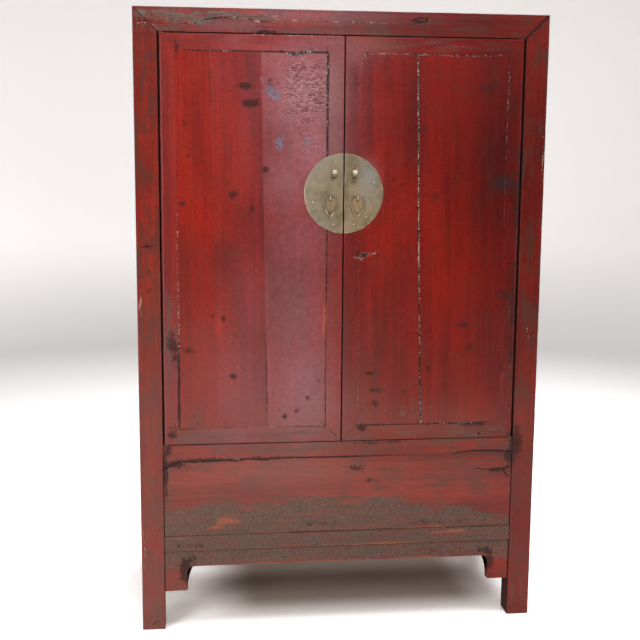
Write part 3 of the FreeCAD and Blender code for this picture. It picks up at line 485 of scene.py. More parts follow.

# %% [markdown]
# ## Marks on the front
#
# Here is what time did to the front, as a restorer would note it, and the light and shade painted on it:
# places in millimetres, across from the middle and up from the floor. A patch is a soft oval: centre, half
# sizes, strength and, if it has one, its tilt in degrees. A line is a run of points, each with how dark the
# crack is there and how much the lacquer has chipped.

# %% Patches: (across, up, half width, half height, strength, tilt)
PATCHES = {
    # vermilion where the lacquer is rubbed, and painted light, most on the left door
    "bright": [
        (-440, 1540, 80, 260, 0.9), (-420, 1300, 90, 220, 0.6), (-320, 1330, 60, 220, 0.45),
        (-372, 1190, 50, 70, 0.6), (-354, 900, 10, 34, 0.95), (-52, 930, 5, 60, 1), (-52, 800, 4, 50, 0.5),
        (120, 1230, 70, 200, 0.45), (320, 1180, 120, 160, 0.35), (-490, 1560, 30, 160, 0.8),
        (-490, 176, 20, 55, 0.5), (497, 205, 18, 36, 0.6),
    ],
    # the pink damp bloom, and a painted sheen on it and on the right brass plate
    "bloom_and_sheen": [
        (70, 1325, 26, 44, 0.7, 12), (62, 1275, 26, 30, 0.45), (-130, 900, 95, 220, 0.3),
        (-262, 1520, 40, 220, 0.22), (-330, 1600, 60, 90, 0.12), (-250, 1110, 40, 200, 0.12),
        (-110, 1560, 105, 130, 0.85), (-90, 1420, 90, 120, 0.6), (-150, 1330, 80, 120, 0.4),
        (-120, 1640, 130, 50, 0.6), (-120, 1150, 90, 130, 0.25), (-115, 720, 90, 150, 0.5),
        (-300, 740, 110, 150, 0.5), (-262, 960, 60, 140, 0.35), (-24, 1520, 26, 190, 0.22),
        (-300, 1690, 60, 40, 0.2), (-110, 1764, 230, 24, 0.45), (20, 1660, 40, 60, 0.35),
        (-60, 1692, 140, 30, 0.35), (-300, 1735, 140, 24, 0.3),
    ],
    # a milky film: partly dust and mop water, partly a painted reflection of the floor
    "film_and_floor_sheen": [
        (-24, 1540, 26, 200, 0.3), (60, 1690, 90, 30, 0.3), (-60, 620, 260, 90, 0.25),
        (-140, 470, 240, 50, 0.3), (300, 590, 300, 80, 0.22), (300, 440, 260, 70, 0.2),
    ],
    "stain": [
        (-490, 1757, 110, 24, 0.55), (-540, 1725, 60, 16, 0.4), (-24, 1400, 26, 260, 0.3),
        (24, 1000, 24, 360, 0.15), (-440, 640, 60, 60, 0.3), (-492, 850, 24, 180, 0.5),
        (-400, 580, 120, 30, 0.5), (-100, 580, 160, 30, 0.5), (260, 1690, 260, 24, 0.3),
        (260, 582, 260, 28, 0.45), (492, 780, 22, 200, 0.3), (-340, 1110, 70, 60, 0.12),
        (420, 1320, 60, 40, 0.12), (-500, 1725, 80, 14, 0.4), (-550, 60, 40, 70, 0.4),
        (550, 60, 40, 70, 0.4), (180, 640, 160, 40, 0.3), (0, 540, 520, 16, 0.35),
        (-505, 470, 14, 80, 0.6), (510, 520, 16, 60, 0.6), (-70, 750, 30, 100, 0.2),
    ],
    # deep red: partly a darker tone of the lacquer, partly painted shade, most on the right door
    "deep": [
        (-494, 1300, 22, 520, 0.4), (-26, 1400, 30, 330, 0.85), (24, 1520, 24, 170, 0.45),
        (494, 900, 26, 340, 0.7), (24, 1150, 26, 260, 0.6), (440, 1420, 120, 420, 0.85),
        (330, 1560, 160, 120, 0.4), (305, 1380, 80, 280, 0.3), (170, 1600, 110, 80, 0.2),
        (380, 1620, 140, 60, 0.4), (440, 1000, 90, 300, 0.4), (-345, 1090, 50, 60, 0.4),
        (300, 1100, 200, 100, 0.2), (-430, 1080, 60, 120, 0.25), (550, 1200, 40, 620, 0.4),
        (400, 1740, 260, 50, 0.8), (140, 1735, 120, 40, 0.3), (560, 1650, 30, 120, 0.4),
        (492, 1300, 26, 420, 0.7), (-560, 1745, 60, 36, 0.7), (-470, 1722, 90, 16, 0.6),
        (-440, 1676, 80, 16, 0.4), (-60, 1676, 70, 20, 0.5), (390, 1676, 130, 18, 0.5),
        (500, 1718, 70, 14, 0.7),
    ],
    # soot, and painted shadows on the brass under the lock loops and above the leaves
    "soot_and_shadow": [
        (27, 1316, 9, 15, 0.9), (9, 1290, 8, 70, 0.55), (-32, 1322, 8, 12, 0.7), (38, 1268, 24, 8, 0.6),
        (-37, 1266, 22, 8, 0.5), (-465, 1671, 7, 26, 0.75), (-277, 1573, 18, 9, 0.9),
        (-262, 1525, 26, 12, 1), (-201, 1575, 22, 26, 0.45, -30), (-221, 1344, 8, 9, 0.9),
        (-447, 1472, 8, 9, 0.7), (-435, 1379, 10, 8, 0.4), (-310, 1277, 13, 14, 0.6),
        (-452, 1249, 9, 8, 0.75), (-259, 1236, 11, 15, 0.5), (-371, 931, 7, 8, 0.7), (-342, 924, 6, 9, 1),
        (-313, 756, 11, 9, 1), (-484, 847, 18, 52, 0.7, 12), (-444, 832, 22, 12, 0.5),
        (-98, 689, 8, 8, 0.7), (-164, 637, 9, 9, 0.6), (-67, 737, 6, 8, 0.6), (-133, 654, 14, 12, 0.45),
        (-488, 588, 18, 28, 0.6), (467, 1312, 60, 40, 0.58), (505, 1290, 10, 150, 0.6),
        (503, 880, 9, 260, 0.5), (415, 1579, 40, 26, 0.4), (227, 1460, 14, 16, 0.6),
        (164, 1301, 9, 10, 0.6), (144, 1318, 8, 10, 0.5), (351, 898, 28, 12, 0.5), (255, 771, 10, 14, 0.6),
        (376, 833, 12, 12, 0.5), (472, 986, 24, 14, 0.6), (475, 769, 14, 24, 0.5), (83, 759, 16, 6, 0.6),
        (103, 708, 22, 9, 0.5), (95, 668, 22, 10, 0.5), (60, 596, 18, 12, 0.7), (400, 600, 46, 8, 0.6),
        (412, 570, 8, 9, 0.6), (30, 1588, 16, 60, 0.35), (260, 1270, 34, 22, 0.35),
        (-552, 1131, 12, 9, 0.5), (-550, 1006, 12, 9, 0.45), (-550, 1060, 8, 8, 0.35),
        (549, 1457, 9, 12, 0.5), (-505, 540, 14, 26, 0.6), (-400, 511, 90, 8, 0.6),
        (-230, 513, 100, 6, 0.5), (-511, 470, 8, 80, 0.9), (-480, 500, 30, 12, 0.8), (524, 540, 22, 44, 1),
        (510, 500, 15, 26, 0.95), (470, 456, 34, 9, 0.7), (50, 474, 26, 8, 0.6), (89, 436, 24, 7, 0.5),
        (110, 552, 120, 6, 0.5), (-457, 180, 20, 42, 0.9), (452, 180, 20, 44, 0.8),
        (-440, 206, 26, 18, 0.6), (436, 208, 26, 18, 0.6), (-550, 22, 40, 22, 0.4), (550, 26, 40, 26, 0.4),
        (-430, 255, 90, 10, 0.4), (300, 300, 120, 10, 0.45), (-60, 306, 160, 14, 0.24),
    ],
    "chalk": [
        (-201, 1553, 26, 18, 1, -28), (-182, 1412, 10, 26, 0.85, -12), (-106, 1424, 9, 16, 0.7, 10),
        (-232, 1590, 8, 20, 0.3),
    ],
    "worn": [
        (-340, 326, 22, 12, 1, 14), (-318, 322, 22, 8, 0.9), (-362, 306, 26, 8, 0.8, 8),
        (-386, 300, 34, 8, 0.5), (-432, 325, 10, 8, 0.35), (-480, 276, 32, 7, 0.4), (269, 284, 80, 4, 0.8),
        (60, 285, 150, 3, 0.5), (-240, 286, 120, 2.5, 0.4), (330, 270, 60, 6, 0.45),
        (-120, 190, 300, 3.5, 0.7), (250, 191, 180, 3.5, 0.7), (-180, 240, 60, 3, 0.5),
        (120, 240, 200, 3, 0.5), (-280, 261, 5, 5, 0.5), (400, 262, 70, 8, 0.35), (-577, 965, 4, 14, 0.7),
        (-53, 925, 6, 58, 0.8), (-480, 360, 34, 30, 0.15),
    ],
    "bare": [
        (-440, 1757, 60, 7, 0.6, 2), (-330, 1764, 70, 6, 0.75), (-240, 1757, 40, 8, 0.6),
        (-558, 1762, 22, 14, 0.7), (-500, 1766, 30, 8, 0.6), (-400, 1744, 50, 7, 0.6, 10),
        (-470, 1738, 60, 5, 0.5, -3), (58, 1104, 20, 5, 0.8, 8),
    ],
}
# the grease stain of the belly panel: its upper edge, its foot and its sides
STAIN_EDGE = [
    (-520, 383), (-440, 380), (-390, 392), (-334, 395), (-277, 377), (-237, 392), (-155, 400), (-73, 404),
    (-2, 388), (77, 398), (107, 407), (142, 396), (177, 395), (212, 377), (275, 365), (342, 367),
    (410, 341), (520, 316),
]
STAIN_FOOT, STAIN_SIDE, STAIN_SHARE = 150, 517, 0.8
STAIN_RISE, RIM_FADE, FOOT_FADE = 14, 46, 60
# the milky film, partly dust and partly a painted reflection of the floor, grows towards the floor and the
# left
FILM_AND_SHEEN_BY_HEIGHT = [
    (0, 0.6), (250, 0.42), (600, 0.36), (800, 0.26), (1000, 0.12), (1200, 0.02), (1780, 0),
]
FILM_AND_SHEEN_ACROSS = [
    (-583, 0.9), (-100, 0.95), (130, 0.55), (260, 0.3), (583, 0.3),
]
print("patches:", {kind: len(rows) for kind, rows in PATCHES.items()})

# %% Seams, cracks and chips: points as (across, up, dark, chipped)
FIELD_LOW, FIELD_HIGH = 604, 1666
FIELD_SIDES = {"left": (-469, -47.5), "right": (47.5, 469)}
LINES = [
    # left door: head, foot and sides of the boards
    [(-469, 1666, 0.1, 0), (-425, 1666, 0.6, 0.1), (-345, 1666, 0.6, 0.3), (-330, 1666, 0.4, 1),
     (-318, 1666, 0.6, 0.1), (-180, 1666, 0.8, 0.2), (-150, 1663, 1, 0.5), (-100, 1666, 1, 0.8),
     (-48, 1666, 0.9, 0.2)],
    [(-180, 1669, 0.6, 0.2), (-154, 1659, 0.7, 0.8), (-135, 1657, 0.8, 0.6), (-113, 1663, 0.8, 1),
     (-98, 1672, 0.9, 0.9)],
    [(-469, 604, 0.5, 0.3), (-405, 604, 0.3, 0.4), (-340, 604, 0.4, 0.5), (-240, 604, 0.3, 0.7),
     (-141, 604, 0.4, 0.5), (-130, 604, 0.4, 0), (-48, 604, 0.4, 0)],
    [(-469, 1666, 0, 0), (-469, 1250, 0.1, 0.1), (-468, 1219, 0.4, 0.7), (-469, 1050, 0.4, 0.75),
     (-467, 930, 0.3, 0.7), (-467, 852, 0.8, 1), (-468, 790, 1, 0.3), (-469, 720, 1.3, 0.1),
     (-469, 640, 1.2, 0.2), (-469, 604, 0.8, 0.5)],
    [(-47.5, 1666, 1, 0.6), (-47.5, 1560, 1.1, 0.7), (-47.5, 1440, 1, 0.6), (-47.5, 1385, 0.9, 0.3),
     (-47.5, 1165, 0.7, 0.5), (-47.5, 1050, 0.6, 0.3), (-47.5, 900, 0.4, 0.1), (-47.5, 604, 0.5, 0.1)],
    # left door: joints of the boards
    [(-51, 1662, 0.3, 0.9), (-50.5, 1600, 0.5, 0.8), (-52, 1540, 0.3, 1), (-50, 1480, 0.6, 0.8),
     (-51, 1400, 0.4, 0.9)],
    [(-375, 1666, 0.35, 0.5), (-374, 1605, 0.4, 0.4), (-373, 1535, 0.4, 0.1), (-370, 1480, 0.1, 0),
     (-362, 700, 0.1, 0)],
    [(-232, 1500, 0.1, 0), (-224, 1000, 0.1, 0), (-220, 850, 0.35, 0), (-219, 800, 0.5, 0),
     (-217, 640, 0.42, 0), (-216, 604, 0.3, 0)],
    # right door
    [(47.5, 1666, 0.5, 0.5), (95, 1666, 0.6, 0.9), (150, 1666, 0.5, 0.8), (210, 1666, 0.5, 0.8),
     (300, 1664, 0.5, 0.7), (400, 1665, 0.6, 0.8), (469, 1667, 0.3, 0.4)],
    [(47.5, 1666, 0.4, 0.6), (47.5, 1600, 0.2, 0.4), (47.5, 1520, 0.2, 0.1), (47.5, 1120, 0.3, 0.2),
     (47.5, 1040, 0.4, 0.7), (47.5, 980, 0.2, 0.2), (47.5, 770, 0.2, 0.6), (47.5, 640, 0.3, 0.6),
     (47.5, 604, 0.5, 0.5)],
    [(206, 1666, 0.8, 0.9), (208, 1560, 1, 1), (212, 1441, 1, 0.95), (215, 1300, 1, 0.9),
     (220, 1100, 1, 1), (224, 980, 0.8, 0.7), (227, 880, 0.8, 1), (229, 780, 0.8, 0.7),
     (233, 680, 0.8, 0.8), (236, 604, 0.6, 0.9)],
    [(469, 1690, 0.4, 0.3), (469, 1620, 0.5, 0.7), (469, 1455, 0.3, 0.6), (469, 1330, 0.3, 0.3),
     (468, 1216, 0.2, 0.5), (468, 1150, 0.1, 0.4), (469, 1050, 0, 0), (469, 604, 0.1, 0.1)],
    [(47.5, 604, 0.7, 0.3), (140, 604, 0.5, 0.1), (216, 604, 0.6, 0.3), (290, 604, 0.7, 0.5),
     (370, 604, 0.9, 0.9), (410, 604, 0.6, 0.3), (469, 608, 0.3, 0.2)],
    [(27, 1097, 0.2, 0.7), (49, 1092, 0.4, 0.9), (66, 1095, 0.3, 0.9), (97, 1112, 0.1, 0.5)],
    [(40, 1104, 1.1, 0.1), (66, 1105, 1, 0.1)], [(160, 879, 0.3, 0.2), (222, 872, 0.4, 0.2)],
    [(228, 1466, 0.4, 0.3), (262, 1462, 0.2, 0.2)],
    # mitres
    [(1.5, 558, 0.4, 0), (-46, 604, 0.3, 0)], [(-1.5, 1712, 0.1, 0), (-46, 1667, 0.2, 0)],
    [(3, 560, 0.4, 0.1), (46, 603, 0.3, 0)], [(3, 1710, 0.3, 0.1), (46, 1667, 0.3, 0.1)],
    [(-330, 1711, 0, 0), (-240, 1711, 0, 0.6), (-140, 1711, 0.1, 0.95), (-3, 1711, 0.1, 0.7)],
    [(582, 1779, 1.2, 0.3), (550, 1749, 1, 0.4), (518, 1716, 1.2, 0.2)],
    # head of the frame
    [(-582, 1733, 0.2, 0.9), (-556, 1737, 0.3, 0.6), (-535, 1733, 0.3, 0.8), (-510, 1731, 0.3, 0.4),
     (-481, 1733, 0.3, 0.3), (-439, 1736, 0.5, 0.5), (-411, 1738, 0.6, 0.6), (-386, 1748, 0.7, 0.5),
     (-348, 1754, 0.8, 0.5), (-306, 1755, 0.7, 0.9), (-265, 1752, 0.6, 1), (-243, 1746, 0.7, 0.9),
     (-218, 1745, 0.8, 0.8), (-197, 1749, 0.7, 0.9), (-191, 1756, 0.3, 1), (-202, 1762, 0.3, 0.9),
     (-226, 1763, 0.3, 0.9), (-235, 1770, 0.2, 0.5)],
    [(-190, 1753, 0.3, 0.7), (-116, 1749, 0.4, 0.6), (-33, 1748, 0.4, 0.6), (42, 1750, 0.4, 0.6),
     (84, 1749, 0.3, 0.7), (143, 1747, 0.2, 0.4)],
    [(190, 1757, 0.9, 0.4), (205, 1763, 0.8, 0.5), (231, 1763, 0.8, 0.2), (228, 1754, 0.7, 0.2),
     (200, 1752, 0.8, 0.5)], [(-243, 1716, 1.2, 0), (-222, 1720, 1.2, 0.1), (-196, 1717, 1.2, 0.3)],
    # posts: knocks on the arrises
    [(-574, 1012, 0.2, 0.7), (-570, 985, 0.3, 0.9), (-578, 952, 0.3, 1), (-572, 936, 0.2, 0.6)],
    [(544, 902, 0.4, 0.5), (552, 872, 0.4, 0.7), (556, 846, 0.2, 0.6)],
    [(-540, 1130, 0.8, 0), (-562, 1128, 0.6, 0.2)],
    [(-578, 300, 0.2, 0.6), (-572, 250, 0.2, 0.8), (-577, 190, 0.2, 0.7)],
    [(574, 1480, 0.2, 0.5), (577, 1380, 0.2, 0.7), (574, 1300, 0.2, 0.5)],
    # rail under the doors and the panel below it
    [(-514, 486, 1, 0.1), (-489, 499, 1.1, 0.2), (-461, 508, 1.2, 0.2), (-421, 505, 1, 0.3),
     (-397, 510, 1.1, 0.6), (-357, 507, 1, 0.1), (-333, 509, 1, 0.3), (-304, 504, 1, 0.3),
     (-277, 511, 0.9, 0.2), (-216, 506, 0.9, 0.2), (-203, 512, 0.9, 0.1), (-100, 511, 0.9, 0),
     (20, 510, 1, 0), (140, 512, 0.5, 0), (333, 509, 0.1, 0)],
    [(333, 511, 0.6, 0.1), (386, 519, 1, 0.1), (439, 518, 1.1, 0), (509, 515, 1.1, 0.1)],
    [(406, 464, 0.5, 0.4), (451, 458, 0.7, 0.4), (486, 461, 1.2, 0.1), (509, 465, 1.2, 0.1)],
    [(486, 460, 0.7, 0.1), (503, 440, 1.2, 0.1)],
    [(-150, 283, 0.5, 0.2), (60, 283, 0.4, 0.5), (300, 283, 0.5, 0.5), (510, 283, 0.4, 0.1)],
]
print("lines:", len(LINES))

# %% [markdown]
# ## From marks to fields
#
# Each vertex of a board needs a number for every kind of mark. All vertices are worked out at once, as
# arrays: one pass for each oval and one for each piece of line.


# %% Fields of the marks
FAR, FAR_LINE = 60.0, 30.0  # what is stored where no edge or joint, or no line, is near
LINE_REACH, LINE_FADE = 16, 4


def oval_field(x, z, rows):
    """The strongest of some soft ovals: strength times exp(-0.9 q^2), q being 1 on the oval's rim."""
    most = np.zeros_like(x)
    for across, up, half_x, half_z, strength, *tilt in rows:
        angle = math.radians(tilt[0] if tilt else 0)
        dx, dz = x - across, z - up
        u = (dx * math.cos(angle) + dz * math.sin(angle)) / half_x
        v = (dz * math.cos(angle) - dx * math.sin(angle)) / half_z
        most = np.maximum(most, strength * np.exp(-0.9 * (u * u + v * v)))
    return most


def line_fields(x, z):
    """The nearest line: its signed distance, dark and chipped shares, all read at the nearest point of it.
    Both shares fade to nothing at LINE_REACH, long before the distance's sign can flip."""
    near, dark, chips = np.full_like(x, FAR_LINE), np.zeros_like(x), np.zeros_like(x)
    for points in LINES:
        for (x0, z0, dark0, chips0), (x1, z1, dark1, chips1) in zip(points, points[1:]):
            dx, dz = x1 - x0, z1 - z0
            share = np.clip(((x - x0) * dx + (z - z0) * dz) / (dx * dx + dz * dz), 0, 1)
            off_x, off_z = x - x0 - share * dx, z - z0 - share * dz
            off = np.hypot(off_x, off_z) * np.where(off_x * dz - off_z * dx < 0, -1, 1)
            closer = np.abs(off) < np.abs(near)
            near = np.where(closer, off, near)
            dark = np.where(closer, dark0 + share * (dark1 - dark0), dark)
            chips = np.where(closer, chips0 + share * (chips1 - chips0), chips)
    fade = np.clip((LINE_REACH - np.abs(near)) / LINE_FADE, 0, 1)
    return near, dark * fade, chips * fade


def ripple(t, seed, pitch):
    """Smooth random values, -1 to 1, along t: values at every `pitch`, eased from one to the next."""
    values = np.random.default_rng(seed).uniform(-1, 1, 512)
    place = np.asarray(t, float) / pitch
    whole = np.floor(place).astype(int)
    ease = place - whole
    ease = ease * ease * (3 - 2 * ease)
    return values[whole % 512] * (1 - ease) + values[(whole + 1) % 512] * ease


print("an oval of 0.7, from its middle to its rim:",
      oval_field(np.array([0.0, 5.0, 10.0]), np.zeros(3), [(0, 0, 10, 10, 0.7)]).round(2))

# %% [markdown]
# ## One board
#
# A board is a rounded rectangle carried along its grain. Each station along the grain may have its own
# corner radii, so an arris can be worn more in one place, and each point of the rectangle has its own
# first and last place, so an end can be cut to a mitre. Where a side faces the room its grid is fine
# enough to hold the fields; elsewhere it is coarse.


# %% Rings of points
def ring_cells(rings, around, wrap=False):
    """The quads between neighbouring rings of points. wrap joins the last ring to the first."""
    i, j = np.meshgrid(np.arange(rings if wrap else rings - 1), np.arange(around), indexing="ij")
    up, side = (i + 1) % rings, (j + 1) % around
    cells = [i * around + j, i * around + side, up * around + side, up * around + j]
    return np.stack(cells, -1).reshape(-1, 4)


def ring_tips(rings, around):
    """Triangles from the first and last ring to the two points that follow all others."""
    here = np.arange(around)
    after, base = (here + 1) % around, (rings - 1) * around
    first, last = (np.full(around, rings * around + k) for k in (0, 1))
    return np.concatenate([
        np.stack([first, after, here], 1), np.stack([last, base + here, base + after], 1)])


def with_tips(points):
    """Rings of points as one list, and after them the middle of the first and of the last ring."""
    return np.concatenate([points.reshape(-1, 3), [points[0].mean(0), points[-1].mean(0)]])


def new_shell(points, quads, caps, **fields):
    """Points, faces and what every shell stores. A field that isn't given takes its plain value."""
    count = len(points)
    plain = {"facing": np.zeros((count, 3)), "joint": np.full(count, FAR), "lacquer": np.ones(count),
             "grain_at": points * MM, "gap": np.zeros(count, bool)}
    return {"points": points, "quads": quads, "caps": caps} | plain | fields


# %% Boards as grids
SIDE = {"left": (0, -1), "right": (0, 1), "front": (1, -1), "back": (1, 1), "down": (2, -1), "up": (2, 1)}
NAME = {side: name for name, side in SIDE.items()}
QUARTER = np.linspace(0, math.pi / 2, 4)
FLAT_RIM, COARSE = 0.8, 45.0
LEAST_RADIUS, MOST_WORN = 0.25, 2.0
COATED, SUNK, ON_FRONT = 0.3, 0.2, 0.3  # how far a normal must turn to a side to count
GAP_DIRT_AND_SHADE = 0.6  # the sides of a narrow gap get dirt and painted shade, as dark as a joint this near


def looks(facing, names, least):
    """Whether each point faces one of the named sides."""
    turned_to = [facing[:, SIDE[name][0]] * SIDE[name][1] for name in names]
    return np.max([*turned_to, np.full(len(facing), -1.0)], 0) > least


def plank(low, high, along, *, radius, step, round_ends, seed, shown=("front",), lacquered=("front",),
          ends=(None, None), closed=(), gaps=(), wear=0.5):
    """One board between two corners.

    The profile's corner k has its centre one radius in from both sides, and a quarter circle of four
    points. The sides between are evenly divided, with one extra point FLAT_RIM from each end, which keeps
    the flats flat when shaded. A point's place along the grain is start + t (stop - start), where start
    and stop are functions of the point's place in the profile. closed names the sides whose long edges
    lie against another board, and gaps the sides that look into a narrow gap, which get dirt and painted
    shade.
    """
    low, high = np.array(low, float), np.array(high, float)
    a, b = (along + 1) % 3, (along + 2) % 3
    names = [NAME[side] for side in ((b, -1), (a, 1), (b, 1), (a, -1))]
    # stations along the grain
    length = high[along] - low[along]
    near = np.array([0, 0.2, 0.55, 1.0]) * max(round_ends, 0.4)
    far = np.linspace(near[-1] + FLAT_RIM, length - near[-1] - FLAT_RIM, max(2, int(length / step)))
    reach = np.concatenate([near, far, length - near[::-1]])
    from_end = np.minimum(reach, length - reach)
    bow = np.sqrt(np.maximum(round_ends**2 - (round_ends - from_end) ** 2, 0))
    inset = np.where(from_end < round_ends, round_ends - bow, 0)
    knocks = [ripple(reach, seed * 7 + k, 34.0) + np.maximum(ripple(reach, seed * 7 + k + 90, 9.0), 0)
              for k in range(4)]
    worn = np.ones((len(reach), 4)) * radius
    worn = (worn + np.minimum(worn, MOST_WORN) * wear * np.transpose(knocks)).clip(LEAST_RADIUS, None)
    # the profile at every station: quarter circles and the flats between them
    faces_a, faces_b = (low[a] + inset, high[a] - inset), (low[b] + inset, high[b] - inset)
    arcs = []
    for k, (end_a, end_b) in enumerate(((0, 0), (1, 0), (1, 1), (0, 1))):
        angle, bend = math.pi + k * math.pi / 2 + QUARTER, worn[:, k, None]
        centre_a = faces_a[end_a][:, None] + (1 - 2 * end_a) * bend
        centre_b = faces_b[end_b][:, None] + (1 - 2 * end_b) * bend
        arcs.append([centre_a + bend * np.cos(angle), centre_b + bend * np.sin(angle)])
    arcs = np.array(arcs)
    columns, normals, to_edge, to_joint = [], [], [], []
    for k, name in enumerate(names):
        across, after = (high - low)[(a, b)[k % 2]], (k + 1) % 4
        pieces = max(2, int(across / (step if name in shown else COARSE)))
        inner = np.linspace(0, 1, pieces + 1)[1:-1]
        share = np.concatenate([[FLAT_RIM / across], inner, [1 - FLAT_RIM / across]])
        columns += [arcs[k], arcs[k][:, :, -1:] * (1 - share) + arcs[after][:, :, :1] * share]
        angle = math.pi + k * math.pi / 2 + np.append(QUARTER, np.full(len(share), QUARTER[-1]))
        normals.append([np.cos(angle), np.sin(angle)])
        joined = (names[k - 1] in closed or name in closed, name in closed or names[after] in closed)
        spans = (np.append(np.zeros(4), share * across), np.append(np.full(4, FAR), (1 - share) * across))
        for fields, wanted in ((to_edge, False), (to_joint, True)):
            fields.append(np.minimum(*(
                span if met == wanted else np.full_like(span, FAR) for span, met in zip(spans, joined))))
    grid_a, grid_b = np.concatenate(columns, 2)
    # places along the grain, from one end's cut to the other's
    start, stop = (
        end(grid_a, grid_b) if end else np.full_like(grid_a, limit[along])
        for end, limit in zip(ends, (low, high)))
    place = start + (reach / length)[:, None] * (stop - start)
    grid = {a: grid_a, b: grid_b, along: place}
    points = with_tips(np.stack([grid[axis] for axis in range(3)], -1))
    facing = np.zeros_like(points)
    facing[:-2, [a, b]] = np.tile(np.concatenate(normals, 1).T, (len(reach), 1))
    facing[-2:, along] = -1, 1
    edge = np.broadcast_to(np.concatenate(to_edge), grid_a.shape)
    joint = np.minimum(np.concatenate(to_joint), np.minimum(place - start, stop - place))
    shift = np.random.default_rng(seed + 1000).uniform(0, 4, 3)
    return new_shell(
        points, ring_cells(*grid_a.shape), ring_tips(*grid_a.shape), facing=facing,
        edge=np.append(edge, [FAR, FAR]), joint=np.append(joint, [0, 0]),
        lacquer=looks(facing, lacquered, COATED).astype(float), gap=looks(facing, gaps, SUNK),
        grain_at=points[:, [a, b, along]] * MM + shift)


def marked(shell, tone):
    """Adds the front's marks to a shell. tone gives, for a kind of mark, a gain and an amount all over."""
    x, z = shell["points"][:, 0], shell["points"][:, 2]
    front = looks(shell["facing"], ["front"], ON_FRONT)
    for kind, rows in PATCHES.items():
        field = np.zeros_like(x)
        field[front] = oval_field(x[front], z[front], rows)
        if kind == "film_and_floor_sheen":
            field += np.interp(z, *np.transpose(FILM_AND_SHEEN_BY_HEIGHT)) * np.interp(x, *np.transpose(FILM_AND_SHEEN_ACROSS))
        if kind == "stain":
            rim = np.interp(x, *np.transpose(STAIN_EDGE)) + STAIN_RISE
            below, above = (rim - z) / RIM_FADE, (z - STAIN_FOOT) / FOOT_FADE
            grease = STAIN_SHARE * np.clip(below, 0, 1) * np.clip(above, 0, 1)
            field = np.maximum(field, np.where(front & (np.abs(x) < STAIN_SIDE), grease, 0))
        gain, base = tone.get(kind, (1.0, 0.0))
        shell[kind] = np.clip(field * gain + base, 0, 1)
    shell["joint"] = np.where(shell["gap"], np.minimum(shell["joint"], GAP_DIRT_AND_SHADE), shell["joint"])
    shell["edge"] = np.where(shell["gap"], FAR, shell["edge"])
    near, dark, chips = line_fields(x, z)
    shell["line"] = np.where(front, near, FAR_LINE)
    shell["line_dark"], shell["line_chips"] = dark * front, chips * front
    return shell


# %% Turn shells into a piece
FIELDS = ("edge", "joint", "lacquer", "line", "line_dark", "line_chips", *PATCHES)
made = []


def piece(name, shells, finish, body, *nodes, tone=None):
    """Joins shells into one mesh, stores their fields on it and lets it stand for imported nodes."""
    shells = [marked(shell, tone or {}) for shell in shells]
    whole = {key: np.concatenate([shell[key] for shell in shells]) for key in ("points", "grain_at", *FIELDS)}
    faces, smooth, first = [], [], 0
    for shell in shells:
        faces += (shell["quads"] + first).tolist() + (shell["caps"] + first).tolist()
        smooth += [True] * len(shell["quads"]) + [False] * len(shell["caps"])
        first += len(shell["points"])
    mesh = bpy.data.meshes.new(name)
    mesh.from_pydata((whole["points"] * MM).tolist(), [], faces)
    mesh.polygons.foreach_set("use_smooth", smooth)
    for field in FIELDS:
        values = whole[field].astype(np.float32)
        mesh.attributes.new(field, "FLOAT", "POINT").data.foreach_set("value", values)
    grain = whole["grain_at"].astype(np.float32).ravel()
    mesh.attributes.new("grain_at", "FLOAT_VECTOR", "POINT").data.foreach_set("vector", grain)
    mesh.materials.append(FINISH[finish])
    mesh.update()
    thing = bpy.data.objects.new(name, mesh)
    bpy.context.scene.collection.objects.link(thing)
    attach(thing, body)
    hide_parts(*nodes)
    made.append((name, len(faces)))
    return thing


# %% [markdown]
# ## Posts and top frame
#
# Four square posts carry everything. At each top corner a post, a front rail and a side rail meet in a
# three-way mitre, so no end grain shows. In the corner's cube each member keeps the part that is nearest
# to its own axis: an end is cut back by the larger of the distances from the two outer faces. CUT is what
# keeps two mitred ends from touching.

# %% Posts
POST_HIGH = corners("post_front_left")[1]
CUT = 0.12
HIDDEN = {"stain": (1.0, 0.18), "deep": (1.0, 0.2)}
# on the right post the added deep red is partly painted shade
POST_TONE = {"left": {}, "right": {"deep": (1.0, 0.06)}, "back": {"stain": (1.0, 0.16), "deep": (1.0, 0.25)}}


def mitre(limit, sign, *faces):
    """An end for plank, cut back from its limit. faces are the places of the outer faces across the
    board, in the profile's order, with None for a direction that doesn't count."""
    def end(*place):
        off = [abs(at - face) for at, face in zip(place, faces) if face is not None]
        return limit + sign * (np.maximum.reduce(off) + CUT)
    return end


for row, is_back in (("front", 0), ("back", 1)):
    for side, inner in (("left", "right"), ("right", "left")):
        is_right = side == "right"
        low, high = corners(f"post_{row}_{side}")
        head = mitre(high[2], -1, (low, high)[is_right][0], (low, high)[is_back][1])
        post = plank(
            low, high, 2, shown=(row, side), lacquered=(row, side) if is_back else (row, side, inner),
            gaps=() if is_back else (inner,), radius=1.6, step=12.0 if is_back else 7.0,
            ends=(None, head), round_ends=1.6, seed=3 + 2 * is_back + is_right)
        legs = post["points"][:, 2] < corners("bottom_rail_front")[0][2]
        post["lacquer"] = np.where(legs, 1.0, post["lacquer"])
        tone = POST_TONE["back" if is_back else side]
        piece(f"{row}_{side}_post", [post], "frame_lacquer", "carcass", f"post_{row}_{side}", tone=tone)

